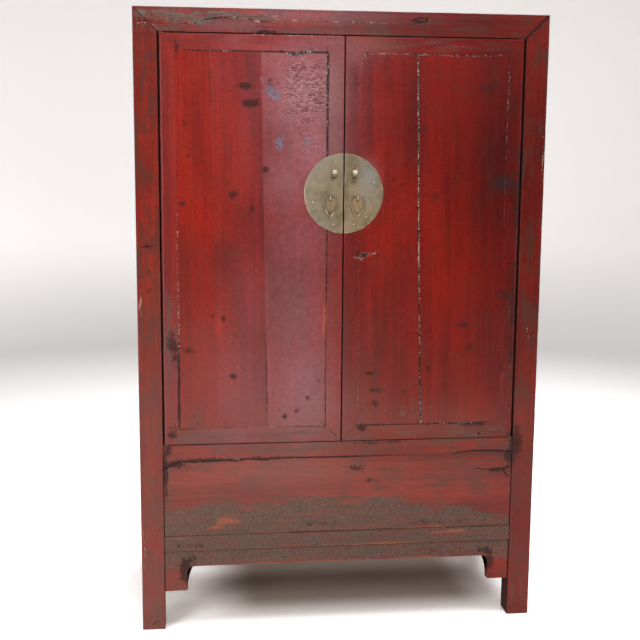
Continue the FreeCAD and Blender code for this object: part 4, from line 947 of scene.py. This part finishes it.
# %% Top rails
AROUND = ("front", "back", "left", "right")
for side in AROUND:
    low, high = corners(f"top_rail_{side}")
    axis, sign = SIDE[side]
    lengthwise, front = 1 - axis, side == "front"
    outer = (low if sign < 0 else high)[axis]
    faces = (outer, high[2]) if lengthwise == 0 else (high[2], outer)
    rail = plank(
        low, high, lengthwise, shown=(side, "up"), lacquered=(side, "up", "down"),
        gaps=("down",) if front else (), radius=1.7, step=6.0 if front else 12.0,
        ends=(mitre(low[lengthwise], 1, *faces), mitre(high[lengthwise], -1, *faces)),
        round_ends=0.0, seed=11 + len(side))
    tone = {} if front else HIDDEN
    piece(f"head_rail_{side}", [rail], "frame_lacquer", "carcass", f"top_rail_{side}", tone=tone)
print("posts and head:", made[-8:])

# %% [markdown]
# ## Rails and panels between the posts
#
# The rails butt against the posts; their tenons are hidden. The panels float in grooves, a little behind
# the frame, and show only between rails and posts. Side and back panels are glued up from boards, whose
# joints have opened a little, so each board is its own shell with its own grain.

# %% Rails
INNER_X = POST_HIGH[0] * np.array([1, -1])
INNER_Y = (POST_HIGH[1], corners("post_back_left")[0][1])
for level in ("middle", "bottom"):
    for side in AROUND:
        low, high = corners(f"{level}_rail_{side}")
        lengthwise = 1 - SIDE[side][0]
        low[lengthwise], high[lengthwise] = (INNER_X, INNER_Y)[lengthwise]
        rail = plank(
            low, high, lengthwise, shown=(side,), lacquered=(side,), radius=1.4,
            step=5.0 if side == "front" else 12.0, round_ends=0.3, seed=23 + len(side) + (level == "bottom"))
        tone = {} if side == "front" else HIDDEN
        piece(f"{level}_{side}_rail", [rail], "frame_lacquer", "carcass", f"{level}_rail_{side}", tone=tone)


# %% Panels
def board_corners(node):
    """Each board of a packed panel is a block of 24 loose vertices: the corners of each."""
    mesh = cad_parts[node].data
    places = np.zeros(len(mesh.vertices) * 3)
    mesh.vertices.foreach_get("co", places)
    blocks = places.reshape(-1, 24, 3) / MM
    return [(block.min(0), block.max(0)) for block in blocks]


MIDDLE_Z, BOTTOM_Z = (
    [corner[2] for corner in corners(f"{level}_rail_front")] for level in ("middle", "bottom"))
LOWER, UPPER = (BOTTOM_Z[1], MIDDLE_Z[0]), (MIDDLE_Z[1], corners("top_rail_front")[0][2])
PANELS = (
    ("belly_panel", "front", LOWER, 0), ("lower_panel_back", "back", LOWER, 2),
    ("lower_panel_left", "left", LOWER, 1), ("lower_panel_right", "right", LOWER, 1),
    ("upper_panel_back", "back", UPPER, 2), ("upper_panel_left", "left", UPPER, 2),
    ("upper_panel_right", "right", UPPER, 2), ("top_panel", "up", None, 0),
)
for node, side, inner_z, grain in PANELS:
    shells = []
    for number, (low, high) in enumerate(board_corners(node)):
        for axis, limits in enumerate((INNER_X, INNER_Y, inner_z)):
            if axis != SIDE[side][0]:
                low[axis], high[axis] = max(low[axis], limits[0]), min(high[axis], limits[1])
        shells.append(plank(
            low, high, grain, shown=(side,), lacquered=() if side == "back" else (side,), radius=0.9,
            step=5.5 if side == "front" else 14.0, round_ends=0.2, wear=0.4,
            seed=41 + 5 * number + len(node)))
    tone = {} if side == "front" else {"stain": (1.0, 0.2), "deep": (1.0, 0.3)}
    piece(f"{node}_boards", shells, "panel_lacquer", "carcass", node, tone=tone)
print("rails and panels:", made[-16:])

# %% [markdown]
# ## Apron
#
# The apron and its spandrels are sawn from one board. Its lower edge runs along: foot of the spandrel,
# a small rounded corner, straight up, a hollow quarter circle, and level across. The outline is one
# curve; the board is that curve at several depths, set in along its own normal where the arris is worn,
# and drawn up to the straight top edge.

# %% Apron from its outline
SPANDREL_WIDTH, APRON_HEIGHT = 67.0, 48.0
HOLLOW, ROUNDED, APRON_WORN = 21.0, 6.0, 1.4
FACE_ZONE = 2.0  # what lies this near to the front counts as front, and this near to the back as bare
APRON_GRAIN = 1.7  # where in the wood the apron was cut from, so that no other board shares its grain
NEAR_CURVE = 0.012  # the share of the way up at which the first row above the arris lies


def arc(centre, radius, start, stop, count):
    """Points of a circle from one angle to another, in degrees."""
    angle = np.radians(np.linspace(start, stop, count))
    return np.stack([centre[0] + radius * np.cos(angle), centre[1] + radius * np.sin(angle)], 1)


def run(start, stop, count):
    share = np.linspace(0, 1, count + 1)[:-1, None]
    return np.array(start) * (1 - share) + np.array(stop) * share


def tangent_and_normal(path):
    """The unit step along a path and that step turned left by a right angle."""
    step = np.gradient(path, axis=0)
    step /= np.linalg.norm(step, axis=1)[:, None]
    return step, np.stack([-step[:, 1], step[:, 0]], 1)


def bead(curve, inward, worn):
    """The rounded arris along a curve: rows from the flat to the rim, and how deep each lies."""
    rows = [curve + inward * worn * (1 - math.sin(angle)) for angle in QUARTER]
    return rows, [worn * (1 - math.cos(angle)) for angle in QUARTER]


def apron_shell():
    low, high = corners("apron_front")
    left, foot, top = INNER_X[0], low[2], BOTTOM_Z[0]
    level, inner = top - APRON_HEIGHT, left + SPANDREL_WIDTH
    half = np.concatenate([
        run((left, foot), (inner - ROUNDED, foot), 10),
        arc((inner - ROUNDED, foot + ROUNDED), ROUNDED, -90, 0, 6)[:-1],
        run((inner, foot + ROUNDED), (inner, level - HOLLOW), 8),
        arc((inner + HOLLOW, level - HOLLOW), HOLLOW, 180, 90, 9)[:-1],
        run((inner + HOLLOW, level), (0, level), 72),
    ])
    curve = np.concatenate([half, [[0, level]], half[::-1] * [-1, 1]])
    inward = tangent_and_normal(curve)[1]
    crest = np.stack([np.linspace(left, -left, len(curve)), np.full(len(curve), top)], 1)

    def raised(shares):
        return [(curve + inward * APRON_WORN) * (1 - share) + crest * share for share in shares]

    face, back = raised([*np.linspace(1, 0, 16)[:-1], NEAR_CURVE]), raised(np.linspace(NEAR_CURVE, 1, 6))
    round_rows, round_depths = bead(curve, inward, APRON_WORN)
    rows = np.array(face + round_rows + round_rows[::-1] + back)
    depths = np.array([low[1]] * len(face) + [low[1] + depth for depth in round_depths]
                      + [high[1] - depth for depth in round_depths[::-1]] + [high[1]] * len(back))
    count, across = rows.shape[:2]
    grid = np.stack([rows[..., 0], np.broadcast_to(depths[:, None], (count, across)), rows[..., 1]], -1)
    i, j = np.meshgrid(np.arange(count), np.arange(across - 1), indexing="ij")
    k = (i + 1) % count
    quads = [i * across + j, k * across + j, k * across + j + 1, i * across + j + 1]
    sides = [np.arange(count) * across, np.arange(count)[::-1] * across + across - 1]
    points = grid.reshape(-1, 3)
    points = np.concatenate([points, [points[side].mean(0) for side in sides]])
    ends = [np.stack([np.roll(side, -1), side, np.full(count, count * across + k)], 1)
            for k, side in enumerate(sides)]
    facing = np.zeros_like(points)
    facing[:-2, 1] = np.repeat(np.where(depths < low[1] + FACE_ZONE, -1.0, 0.0), across)
    edge = np.linalg.norm(rows[:, :, None] - curve[None, None, ::3], axis=3).min(2)
    x, y, z = points.T
    return new_shell(
        points, np.stack(quads, -1).reshape(-1, 4), np.concatenate(ends), facing=facing,
        edge=np.append(edge, [FAR, FAR]), joint=np.minimum(x - left, np.minimum(-left - x, top - z)),
        lacquer=np.where(y < high[1] - FACE_ZONE, 1.0, 0.0), grain_at=points[:, [1, 2, 0]] * MM + APRON_GRAIN)


piece("apron_board", [apron_shell()], "frame_lacquer", "carcass", "apron_front")
print("apron:", made[-1])

# %% [markdown]
# ## Doors
#
# Each door is a mitred frame flush with upright boards, so the front is one plane and only the seams show.
# The stile on the hinge side turns on wooden pins and has its front edge rounded about them. The boards
# taper a little, as sawn boards do, so their joints lean. Only the joint side of a board moves for that.


# %% Turned and swept shells
def metal(points, wrap=False, edge=None, flip=False):
    """A shell from rings of points, closed at both tips, or joined to a loop by wrap."""
    rings, around = points.shape[:2]
    flat = points.reshape(-1, 3) if wrap else with_tips(points)
    quads, tips = ring_cells(rings, around, wrap), ring_tips(rings, around)[: 0 if wrap else None]
    if not flip:
        quads, tips = quads[:, ::-1], tips[:, ::-1]
    rim = np.full(len(flat), FAR_LINE)
    if edge is not None:
        rim[: edge.size] = edge.ravel()
    return new_shell(flat, quads, tips, edge=rim)


def turned(radii, heights, around):
    """A profile turned about the third axis, as rings of `around` points."""
    angle = np.linspace(0, 2 * math.pi, around + 1)[:-1]
    radii, heights = np.reshape(radii, (-1, 1)), np.reshape(heights, (-1, 1))
    return np.stack(np.broadcast_arrays(radii * np.cos(angle), radii * np.sin(angle), heights), -1)


# %% Door frames
PIN_RADIUS, PIN_INSET, PIN_SHOWN, PIN_HIDDEN = 8.0, 9.0, 1.8, 2.0
HALF_GAP, HINGE_WORN, OTHER_WORN = 1.5, 9.0, 1.3
RAIL_RADII = (0.3, 0.7, 1.2, 1.3)
DOOR_LOW, DOOR_HIGH = corners("door_bottom_rail_left")[0][2], corners("door_top_rail_left")[1][2]
# the left door gets more bloom with its painted sheen, the right door more deep red with painted shade
DOOR_TONE = {"left": {"bloom_and_sheen": (1.0, 0.05)}, "right": {"deep": (1.0, 0.1)}}


def pin_shells(side, low, high):
    """The necks of a stile's two wooden pins, in the narrow gap between door and frame: bare wood."""
    centre_x = low[0] + PIN_INSET if side == "left" else high[0] - PIN_INSET
    necks = []
    for end, out in ((low[2], -1), (high[2], 1)):
        foot, head = sorted((end + out * PIN_SHOWN, end - out * PIN_HIDDEN))
        rings = turned([PIN_RADIUS] * 4, np.linspace(foot, head, 4), 24)
        necks.append(metal(rings + (centre_x, low[1] + PIN_INSET, 0), flip=True))
        necks[-1]["lacquer"] *= 0.0
    return necks


for side, sign in (("left", -1), ("right", 1)):
    body, is_right = f"door_{side}", side == "right"
    for stile, is_hinge in (("hinge_stile", True), ("meeting_stile", False)):
        low, high = corners(f"{stile}_{side}")
        low[2], high[2] = DOOR_LOW, DOOR_HIGH
        outer_low = is_hinge != is_right
        outer, inner = (low[0], "right") if outer_low else (high[0], "left")
        worn = HINGE_WORN if is_hinge else OTHER_WORN
        board = plank(
            low, high, 2, lacquered=("front", "left", "right"), step=5.0, closed=(inner,),
            radius=(worn, 0.3, 0.7, 1.2) if outer_low else (0.3, worn, 1.2, 0.7),
            ends=(mitre(DOOR_LOW, 1, outer), mitre(DOOR_HIGH, -1, outer)), gaps=("left", "right"),
            round_ends=0.0, seed=61 + is_right + 2 * is_hinge)
        board["joint"] += FAR
        shells = [board, *pin_shells(side, low, high)] if is_hinge else [board]
        piece(f"{side}_{stile}", shells, "door_lacquer", body, f"{stile}_{side}", tone=DOOR_TONE[side])
    outer_x = corners(f"hinge_stile_{side}")[is_right][0]
    for level, is_top in (("top", True), ("bottom", False)):
        low, high = corners(f"door_{level}_rail_{side}")
        low[0], high[0] = sorted((outer_x, sign * HALF_GAP))
        outer = high[2] if is_top else low[2]
        board = plank(
            low, high, 0, lacquered=("front", "up", "down"), step=5.0, closed=("down" if is_top else "up",),
            radius=RAIL_RADII if is_top else RAIL_RADII[::-1], gaps=("up", "down"),
            ends=(mitre(low[0], 1, None, outer), mitre(high[0], -1, None, outer)),
            round_ends=0.0, seed=71 + is_right + 2 * is_top)
        board["joint"] += FAR
        node = f"door_{level}_rail_{side}"
        piece(f"{side}_{level}_door_rail", [board], "door_lacquer", body, node, tone=DOOR_TONE[side])
print("door frames:", made[-8:])

# %% Door boards
LEAN = {"left": [(-376, -358), (-234, -216)], "right": [(206, 236)]}
# the third left board gets the most bloom with its painted sheen, and painted light; the right boards more
# deep red with painted shade
BOARD_TONES = {
    "left": [{"bloom_and_sheen": (0.3, 0.0)}, {"bloom_and_sheen": (0.4, 0.03)}, {"bloom_and_sheen": (1.0, 0.1), "bright": (0.5, 0.0)}],
    "right": [{"deep": (1.0, 0.05)}, {"deep": (1.0, 0.1)}],
}


def lean(points, joints, sides):
    """Moves each side of a board that is a joint onto a slanted line, given by its head and foot.
    A point moves in proportion to its distance from the board's other side."""
    out = points.copy()
    for at, (head, foot) in joints.items():
        aim = head + (foot - head) * (FIELD_HIGH - points[:, 2]) / (FIELD_HIGH - FIELD_LOW)
        other = sides[1] if at == sides[0] else sides[0]
        share = np.clip((points[:, 0] - other) / (at - other), 0, 1)
        out[:, 0] += (aim - at) * share
    return out


for side, tones in BOARD_TONES.items():
    is_right, limits = side == "right", FIELD_SIDES[side]
    for number, tone in enumerate(tones, 1):
        low, high = corners(f"door_board_{side}_{number}")
        low[0], high[0] = max(low[0], limits[0]), min(high[0], limits[1])
        low[2], high[2] = FIELD_LOW, FIELD_HIGH
        hinge_side, middle_side = (high[0], low[0]) if is_right else (low[0], high[0])
        joints = {middle_side: LEAN[side][number - 1]} if number < len(tones) else {}
        if number > 1:
            joints[hinge_side] = LEAN[side][number - 2]
        board = plank(
            low, high, 2, radius=0.3, step=5.0, closed=("left", "right"), round_ends=0.25,
            seed=81 + number + 4 * is_right)
        board["joint"] += FAR
        board["points"] = lean(board["points"], joints, (hinge_side, middle_side))
        node = f"door_board_{side}_{number}"
        piece(f"{side}_door_board_{number}", [board], "door_lacquer", f"door_{side}", node, tone=tone)
print("door boards:", made[-5:])

# %% [markdown]
# ## Brass
#
# A round plate in two halves is nailed over the meeting stiles. Two strap loops take the lock bar, and two
# leaves hang from wire eyes as pulls. The plate is a disc cut by a chord: rings that shrink to its middle.
# The loop and the eye are a strap and a wire carried along a bent path, out through the door, round the
# ring and back, with their tails bent flat behind the door. The leaf is rings from its hole to its rim.

# %% Plate, strap and wire
DISC_SHARES = (0.02, 0.2, 0.4, 0.6, 0.78, 0.9, 0.96)
HUB, PLATE_WORN, TAIL_BEND, BACK_RING = 0.42, 0.6, 2.0, 20.0
DENT_X, DENT_Z, DENT_DEEP = (60, 22), (-30, 30), 0.25  # middle and reach across and up, and its depth


def half_disc(side):
    """A half of the plate. Ring s is the outline shrunk by s towards its middle; the rim is rounded over."""
    low, high = corners(f"plate_{side}")
    chord, radius = sorted((abs(low[0]), abs(high[0])))
    swing = math.acos(chord / radius)
    corner_z = radius * math.sin(swing)
    curve = np.concatenate([arc((0, 0), radius, -math.degrees(swing), math.degrees(swing), 73)[:-1],
                            run((chord, corner_z), (chord, -corner_z), 44)])
    hub = np.array([radius * HUB, 0.0])
    inward = (hub - curve) / np.linalg.norm(hub - curve, axis=1)[:, None]
    thick = high[1] - low[1]
    face = [hub + (curve + inward * PLATE_WORN - hub) * share for share in DISC_SHARES]
    round_rows, round_depths = bead(curve, inward, PLATE_WORN)
    back = [curve, curve + inward * BACK_RING, hub + (curve - hub) * DISC_SHARES[0]]
    rings = np.array(face + round_rows + back)
    depths = np.array([0.0] * len(face) + round_depths + [thick] * 3)[:, None]
    rim = np.minimum(radius - np.linalg.norm(rings, axis=2), (rings[..., 0] - chord) * 1.3)
    # the sheet is slightly dished by old knocks
    off_x, off_z = ((rings[..., k] - middle) / reach for k, (middle, reach) in enumerate((DENT_X, DENT_Z)))
    depth = depths + np.where(depths == 0, DENT_DEEP * np.exp(-(off_x**2 + off_z**2)), 0)
    sign = -1 if side == "left" else 1
    points = np.stack([sign * rings[..., 0], low[1] + depth, (low[2] + high[2]) / 2 + rings[..., 1]], -1)
    shell = metal(points, edge=np.clip(rim, 0, FAR_LINE), flip=side == "left")
    shell["facing"][: len(curve) * (len(face) + len(round_rows)), 1] = -1.0
    return shell


def swept(path, section, side_x):
    """A section carried along a bent path in the plane x = side_x. The section's first number runs along
    x and its second along the path's normal."""
    normal = tangent_and_normal(path)[1]
    sections = section if section.ndim == 3 else np.tile(section, (len(path), 1, 1))
    y, z = (path[:, k, None] + normal[:, k, None] * sections[..., 1] for k in (0, 1))
    return np.stack([side_x + sections[..., 0], y, z], -1)


def strap_section(width, thick, worn=0.5):
    """A flat strap with rounded corners, anticlockwise."""
    w, t = width / 2 - worn, thick / 2 - worn
    middles = ((w, t), (-w, t), (-w, -t), (w, -t))
    return np.concatenate([arc(middle, worn, 90 * k, 90 * k + 90, 3) for k, middle in enumerate(middles)])


def bent_path(ring_y, ring_z, radius, gap, behind, tail):
    """Out of a tail behind the door, forward, round the ring and back to the other tail."""
    back_y = DOOR_BACK + behind
    open_angle = math.degrees(math.asin(gap / radius))
    ring = arc((ring_y, ring_z), radius, -open_angle, -360 + open_angle, 33)
    lower, upper, bend_y = ring_z - gap, ring_z + gap, back_y - TAIL_BEND
    return np.concatenate([
        run((back_y, ring_z - tail), (back_y, lower - TAIL_BEND), 4),
        arc((bend_y, lower - TAIL_BEND), TAIL_BEND, 0, 90, 4)[:-1],
        run((bend_y, lower), (ring[0][0], lower), 8),
        ring[1:-1],
        run((ring[-1][0], upper), (bend_y, upper), 8),
        arc((bend_y, upper + TAIL_BEND), TAIL_BEND, -90, 0, 4)[:-1],
        run((back_y, upper + TAIL_BEND), (back_y, ring_z + tail), 4),
        [[back_y, ring_z + tail]],
    ])


# %% Plates, nails, loops, eyes
DOOR_BACK = corners("hinge_stile_left")[1][1]
NAIL_CIRCLE, NAIL_SIZES = 91.6, (2.2, 0.95, 6.0)  # radius, height and shank of a nail
NAILS = {"left": (75, 20, -15.5, -72), "right": (71.6, 20, -44.6, -71)}
STRAP, WIRE_RADIUS, WIRE_SWELL = (12.0, 2.9), 0.95, 0.55
# ring radius, half the gap between the tails, how far they lie behind the door, and their length
LOOP_BEND, EYE_BEND = (11.0, 1.55, 1.5, 15.0), (5.5, 1.0, 1.2, 14.0)
LOOP_INSET, EYE_INSET = 12.5, 7.0
HEAD_AROUND, SHANK_SHARE, HEAD_RUBBED = 16, 0.5, 6.0
SHADE_BELOW, SHADE_RATE, EYE_GLINT = 4.0, 0.4, 0.01  # painted shade low in the loops, and a painted glint on the eyes


def dome(x, z, y, radius, height, shank):
    """A nail: the head is part of a ball, turned about its shank."""
    rise = np.linspace(0.06, 1, 6) * math.pi / 2
    radii = np.append(radius * np.sin(rise), [radius * SHANK_SHARE] * 2)
    depths = np.append(-height * np.cos(rise), [0.0, shank])
    points = turned(radii, depths, HEAD_AROUND)[..., [0, 2, 1]] + (x, y, z)
    return metal(points, edge=np.repeat(HEAD_RUBBED * (radius - radii).clip(0), HEAD_AROUND))


for side, sign in (("left", -1), ("right", 1)):
    body = f"door_{side}"
    piece(f"{side}_plate", [half_disc(side)], "aged_brass", body, f"plate_{side}")
    low, high = corners(f"plate_{side}")
    heads = [
        dome(sign * NAIL_CIRCLE * math.cos(angle), (low[2] + high[2]) / 2 + NAIL_CIRCLE * math.sin(angle),
             low[1], *NAIL_SIZES)
        for angle in np.radians(NAILS[side])]
    piece(f"{side}_nails", heads, "polished_brass", body, f"plate_nails_{side}")
    low, high = corners(f"lock_loop_{side}")
    middle = (low + high) / 2
    path = bent_path(low[1] + LOOP_INSET, middle[2], *LOOP_BEND)
    strap = metal(swept(path, strap_section(*STRAP), middle[0]))
    # painted shade: the lower half of the loop is made darker
    strap["joint"] = np.clip((strap["points"][:, 2] - middle[2] + SHADE_BELOW) * SHADE_RATE, 0.0, FAR)
    piece(f"{side}_loop", [strap], "polished_brass", body, f"lock_loop_{side}")
    low, high = corners(f"pull_eye_{side}")
    middle, ring_y = (low + high) / 2, low[1] + EYE_INSET
    path = bent_path(ring_y, middle[2], *EYE_BEND)
    from_ring = np.hypot(path[:, 0] - ring_y, path[:, 1] - middle[2]) - EYE_BEND[0]
    radii = WIRE_RADIUS + WIRE_SWELL * np.exp(-((from_ring / 3) ** 2))
    wire = np.stack([arc((0, 0), radius, 0, 360, 13)[:-1] for radius in radii])
    eye = metal(swept(path, wire, middle[0]))
    # the whole eye takes the light rim colour: a painted glint
    eye["edge"] *= EYE_GLINT
    piece(f"{side}_eye", [eye], "polished_brass", body, f"pull_eye_{side}")
print("brass:", made[-8:])

# %% Leaf pulls
HOLE_RADIUS, HOLE_DROP, RELIEF = 3.0, 6.5, 0.8
RIDGE_HIGH, RIDGE_HALF, RIDGE_TOP = 0.3, 2.2, 2
VEIN_HIGH, VEIN_SLANT, VEIN_TURN, VEINED = 0.08, 0.8, 1.3, (0.2, 0.78)
BORDER, BORDER_GROOVE = 0.8, 0.82  # as shares of the way from the hole to the rim
RINGS = np.array([0.0, 0.06, 0.2, 0.4, 0.6, 0.74, 0.8, 0.84, 0.88, 0.93, 0.97, 1.0])
RAISED = np.interp(RINGS, [0, 0.06, 0.2, 0.74, 0.8, 0.84, 0.88, 0.93, 0.97, 1.0],
                   [0.1, 0.5, 0.45, 0.5, 0.1, 0.05, 0.35, 0.55, 0.45, 0.0])


def leaf_shell(side):
    """A leaf: a round head, and below its middle two arcs that meet in a point. Rings run from the hole
    to the rim. A raised border follows the rim, and a soft ridge runs down the middle."""
    low, high = corners(f"leaf_pull_{side}")
    middle_x, half = (low[0] + high[0]) / 2, (high[0] - low[0]) / 2
    middle_z = high[2] - half
    drop = middle_z - low[2]
    big = (drop**2 + half**2) / (2 * half)
    right = arc((half - big, 0), big, -math.degrees(math.asin(drop / big)), 0, 20)[:-1]
    curve = np.concatenate([right, arc((0, 0), half, 0, 180, 33)[:-1], (right[1:] * [-1, 1])[::-1]])
    hole_z = half - HOLE_DROP
    angle = np.arctan2(curve[:, 1] - hole_z, curve[:, 0])
    hole = np.stack([HOLE_RADIUS * np.cos(angle), hole_z + HOLE_RADIUS * np.sin(angle)], 1)
    share = RINGS[:, None]
    flat = hole + (curve - hole) * share[..., None]
    x, z = flat[..., 0], flat[..., 1]
    ridge = RIDGE_HIGH * np.exp(-((x / RIDGE_HALF) ** 2)) * (z < RIDGE_TOP) * (share < BORDER)
    wave = np.sin((z - np.abs(x) * VEIN_SLANT) * VEIN_TURN)
    veins = VEIN_HIGH * wave * ((share > VEINED[0]) & (share < VEINED[1]))
    front_y = low[1] + RELIEF - np.clip(RAISED[:, None] + ridge + veins, 0, RELIEF)
    # the flat back: the rim again, a ring between and the hole
    flat = np.concatenate([flat, flat[[-1, 6, 0]]])
    depth = np.append(front_y, np.full((3, len(curve)), high[1]), 0)
    points = np.stack([flat[..., 0] + middle_x, depth, flat[..., 1] + middle_z], -1)
    rim = np.append((1 - RINGS) * 16, [20.0] * 3)
    shell = metal(points, wrap=True, edge=np.repeat(rim, len(curve)))
    # the groove inside the raised border is painted dark, a painted shadow round the leaf
    groove = np.minimum(np.abs(RINGS - BORDER_GROOVE) * 20, RINGS * 40)
    shell["joint"][: x.size] = np.repeat(groove, len(curve))
    return shell


for side in ("left", "right"):
    piece(f"{side}_leaf", [leaf_shell(side)], "leaf_brass", f"pull_{side}", f"leaf_pull_{side}")
print("leaves:", made[-2:])

# %% [markdown]
# ## Boards inside
#
# What the doors hide was left as bare wood. These nodes have the right shape already, so only their
# finish changes. The grain runs along each piece's longer side.

# %% Inner finishes
ALONG_DEPTH = ("shelf_bearers", "side_battens", "top_battens")
ALONG_WIDTH = ("bottom_boards", "lid_board_left", "lid_board_right", "lid_ledges", "shelf", "door_stops",
               "door_battens_left", "door_battens_right")
for names, finish in ((ALONG_DEPTH, "bare_softwood_y"), (ALONG_WIDTH, "bare_softwood")):
    for name in names:
        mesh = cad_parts[name].data
        mesh.materials.clear()
        mesh.materials.append(FINISH[finish])
dressed = ALONG_DEPTH + ALONG_WIDTH
left_over = [name for name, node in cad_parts.items() if not node.hide_render and name not in dressed]
print("packed nodes still to dress:", left_over)

# %% [markdown]
# ## Room and light
#
# A round studio: a level, pale floor that curves up into a wall, so the cabinet stands on the same plain
# ground from every side. The camera sees it pale all round. For the other rays the stretch of wall behind
# the camera is dark, as the depth of a room is, because the lacquer mirrors it, and little light bounces
# off the floor, which keeps the shadow under the cabinet deep. A shadow is also painted on the floor under
# the cabinet. A tall soft light stands to the left of the camera, as a window would, a wide one hangs
# overhead, and small ones fill the right and the back. A narrow strip behind the camera gives the lacquer
# one soft, upright gleam, and a wide, high one lights the whole front evenly.

# %% Stage and lights
FLOOR_SEEN, FLOOR_BOUNCE = (2.15, 2.09, 2.06, 1.0), (0.4, 0.385, 0.37, 1.0)
FLOOR_SHADOW, ROOM_DEPTH = (0.22, 0.12, 0.06, 1.0), paint(44, 42, 40)
LEVEL_RADIUS, COVE_RADIUS, WALL_RADIUS, WALL_HEIGHT, AROUND_STUDIO = 4.6, 1.4, 6.0, 4.6, 96
# bands as (middle, outer, inner), in metres: the painted shadow under the cabinet, and the dark wall's width
SHADOW_X, SHADOW_Y, DARK_X = (0.08, 0.52, 0.3), (0.09, 0.36, 0.16), (0.8, 3.6, 2.2)


def floor_finish():
    material, net = new_finish("pale_floor")
    at = net.put("TexCoord").outputs["Object"]
    x, y, z = net.put("SeparateXYZ", {0: at}).outputs
    ray = net.put("LightPath").outputs
    mirrored = net.math("MAXIMUM", ray["Is Glossy Ray"], ray["Is Transmission Ray"])
    seen = net.math("MAXIMUM", ray["Is Camera Ray"], mirrored)
    warmer = (*FLOOR_SEEN[:2], FLOOR_SEEN[2] * 1.02, 1.0)
    # a shadow painted on the floor under the cabinet
    under = net.times(net.band(x, *SHADOW_X), net.band(y, *SHADOW_Y))
    pale = net.lay(net.mix(net.noise(at, 0.8, 2.0), FLOOR_SEEN, warmer), (under, 0.88, FLOOR_SHADOW))
    pale = net.darken(pale, net.scaled(net.smooth(z, 0.0, 0.7), 0.35, 1.0))
    forward = net.scaled(x, 0.14, net.times(y, -1.0))
    behind = net.times(net.smooth(forward, 3.0, 4.4), net.band(x, *DARK_X))
    dark = net.times(behind, net.less(1.0, ray["Is Camera Ray"]))
    shader = net.tree.nodes["Principled BSDF"]
    net.feed(shader.inputs["Base Color"], net.mix(dark, net.mix(seen, FLOOR_BOUNCE, pale), ROOM_DEPTH))
    shader.inputs["Roughness"].default_value = 0.7
    shader.inputs["Specular IOR Level"].default_value = 0.1
    return material


def round_studio():
    """One profile turned about the z axis: level floor, a quarter circle, then an upright wall."""
    profile = np.concatenate([
        run((0.02, 0), (LEVEL_RADIUS, 0), 12),
        arc((LEVEL_RADIUS, COVE_RADIUS), COVE_RADIUS, -90, 0, 14)[:-1],
        run((WALL_RADIUS, COVE_RADIUS), (WALL_RADIUS, WALL_HEIGHT), 4),
        [[WALL_RADIUS, WALL_HEIGHT]],
    ])
    shell = metal(turned(profile[:, 0], profile[:, 1], AROUND_STUDIO))
    faces = shell["quads"].tolist() + shell["caps"][:AROUND_STUDIO].tolist()
    mesh = bpy.data.meshes.new("studio")
    mesh.from_pydata(shell["points"][:-1].tolist(), [], faces)
    mesh.polygons.foreach_set("use_smooth", [True] * len(mesh.polygons))
    mesh.materials.append(floor_finish())
    floor = bpy.data.objects.new("studio", mesh)
    bpy.context.scene.collection.objects.link(floor)


def soft_light(name, place, aim, width, height, power):
    """A lamp that shines along its -Z axis, turned to look at its aim."""
    lamp = bpy.data.lights.new(name, "AREA")
    lamp.shape, lamp.size, lamp.size_y, lamp.energy = "RECTANGLE", width, height, power
    light = bpy.data.objects.new(name, lamp)
    look = (Vector(aim) - Vector(place)).to_track_quat("-Z", "Y").to_matrix().to_4x4()
    light.matrix_world = Matrix.Translation(place) @ look
    bpy.context.scene.collection.objects.link(light)


round_studio()
soft_light("window", (-2.5, -2.7, 1.3), (0.0, -0.1, 0.9), 1.2, 2.4, 62)
soft_light("fill", (3.0, -2.4, 1.3), (0.2, -0.2, 0.9), 1.2, 2.0, 10)
soft_light("ceiling", (0.0, -0.35, 3.6), (0.0, -0.2, 0.0), 3.2, 2.4, 85)
soft_light("front_top", (0.5, -4.6, 3.3), (0.0, -0.27, 0.7), 3.6, 1.2, 72)
soft_light("strip", (0.28, -4.6, 1.6), (-0.15, -0.27, 1.5), 0.45, 0.9, 10)
soft_light("far_side", (0.9, 2.3, 3.3), (0.1, 0.3, 0.9), 1.8, 1.2, 40)
sky = bpy.data.worlds.new("sky")
sky.use_nodes = True
sky.node_tree.nodes["Background"].inputs["Color"].default_value = (1.0, 0.99, 0.98, 1.0)
sky.node_tree.nodes["Background"].inputs["Strength"].default_value = 0.06
bpy.context.scene.world = sky

# %% [markdown]
# ## Count
#
# The number of pieces made and of their faces is printed.

# %% Count the pieces
print("pieces:", len(made), "faces:", sum(count for _, count in made))
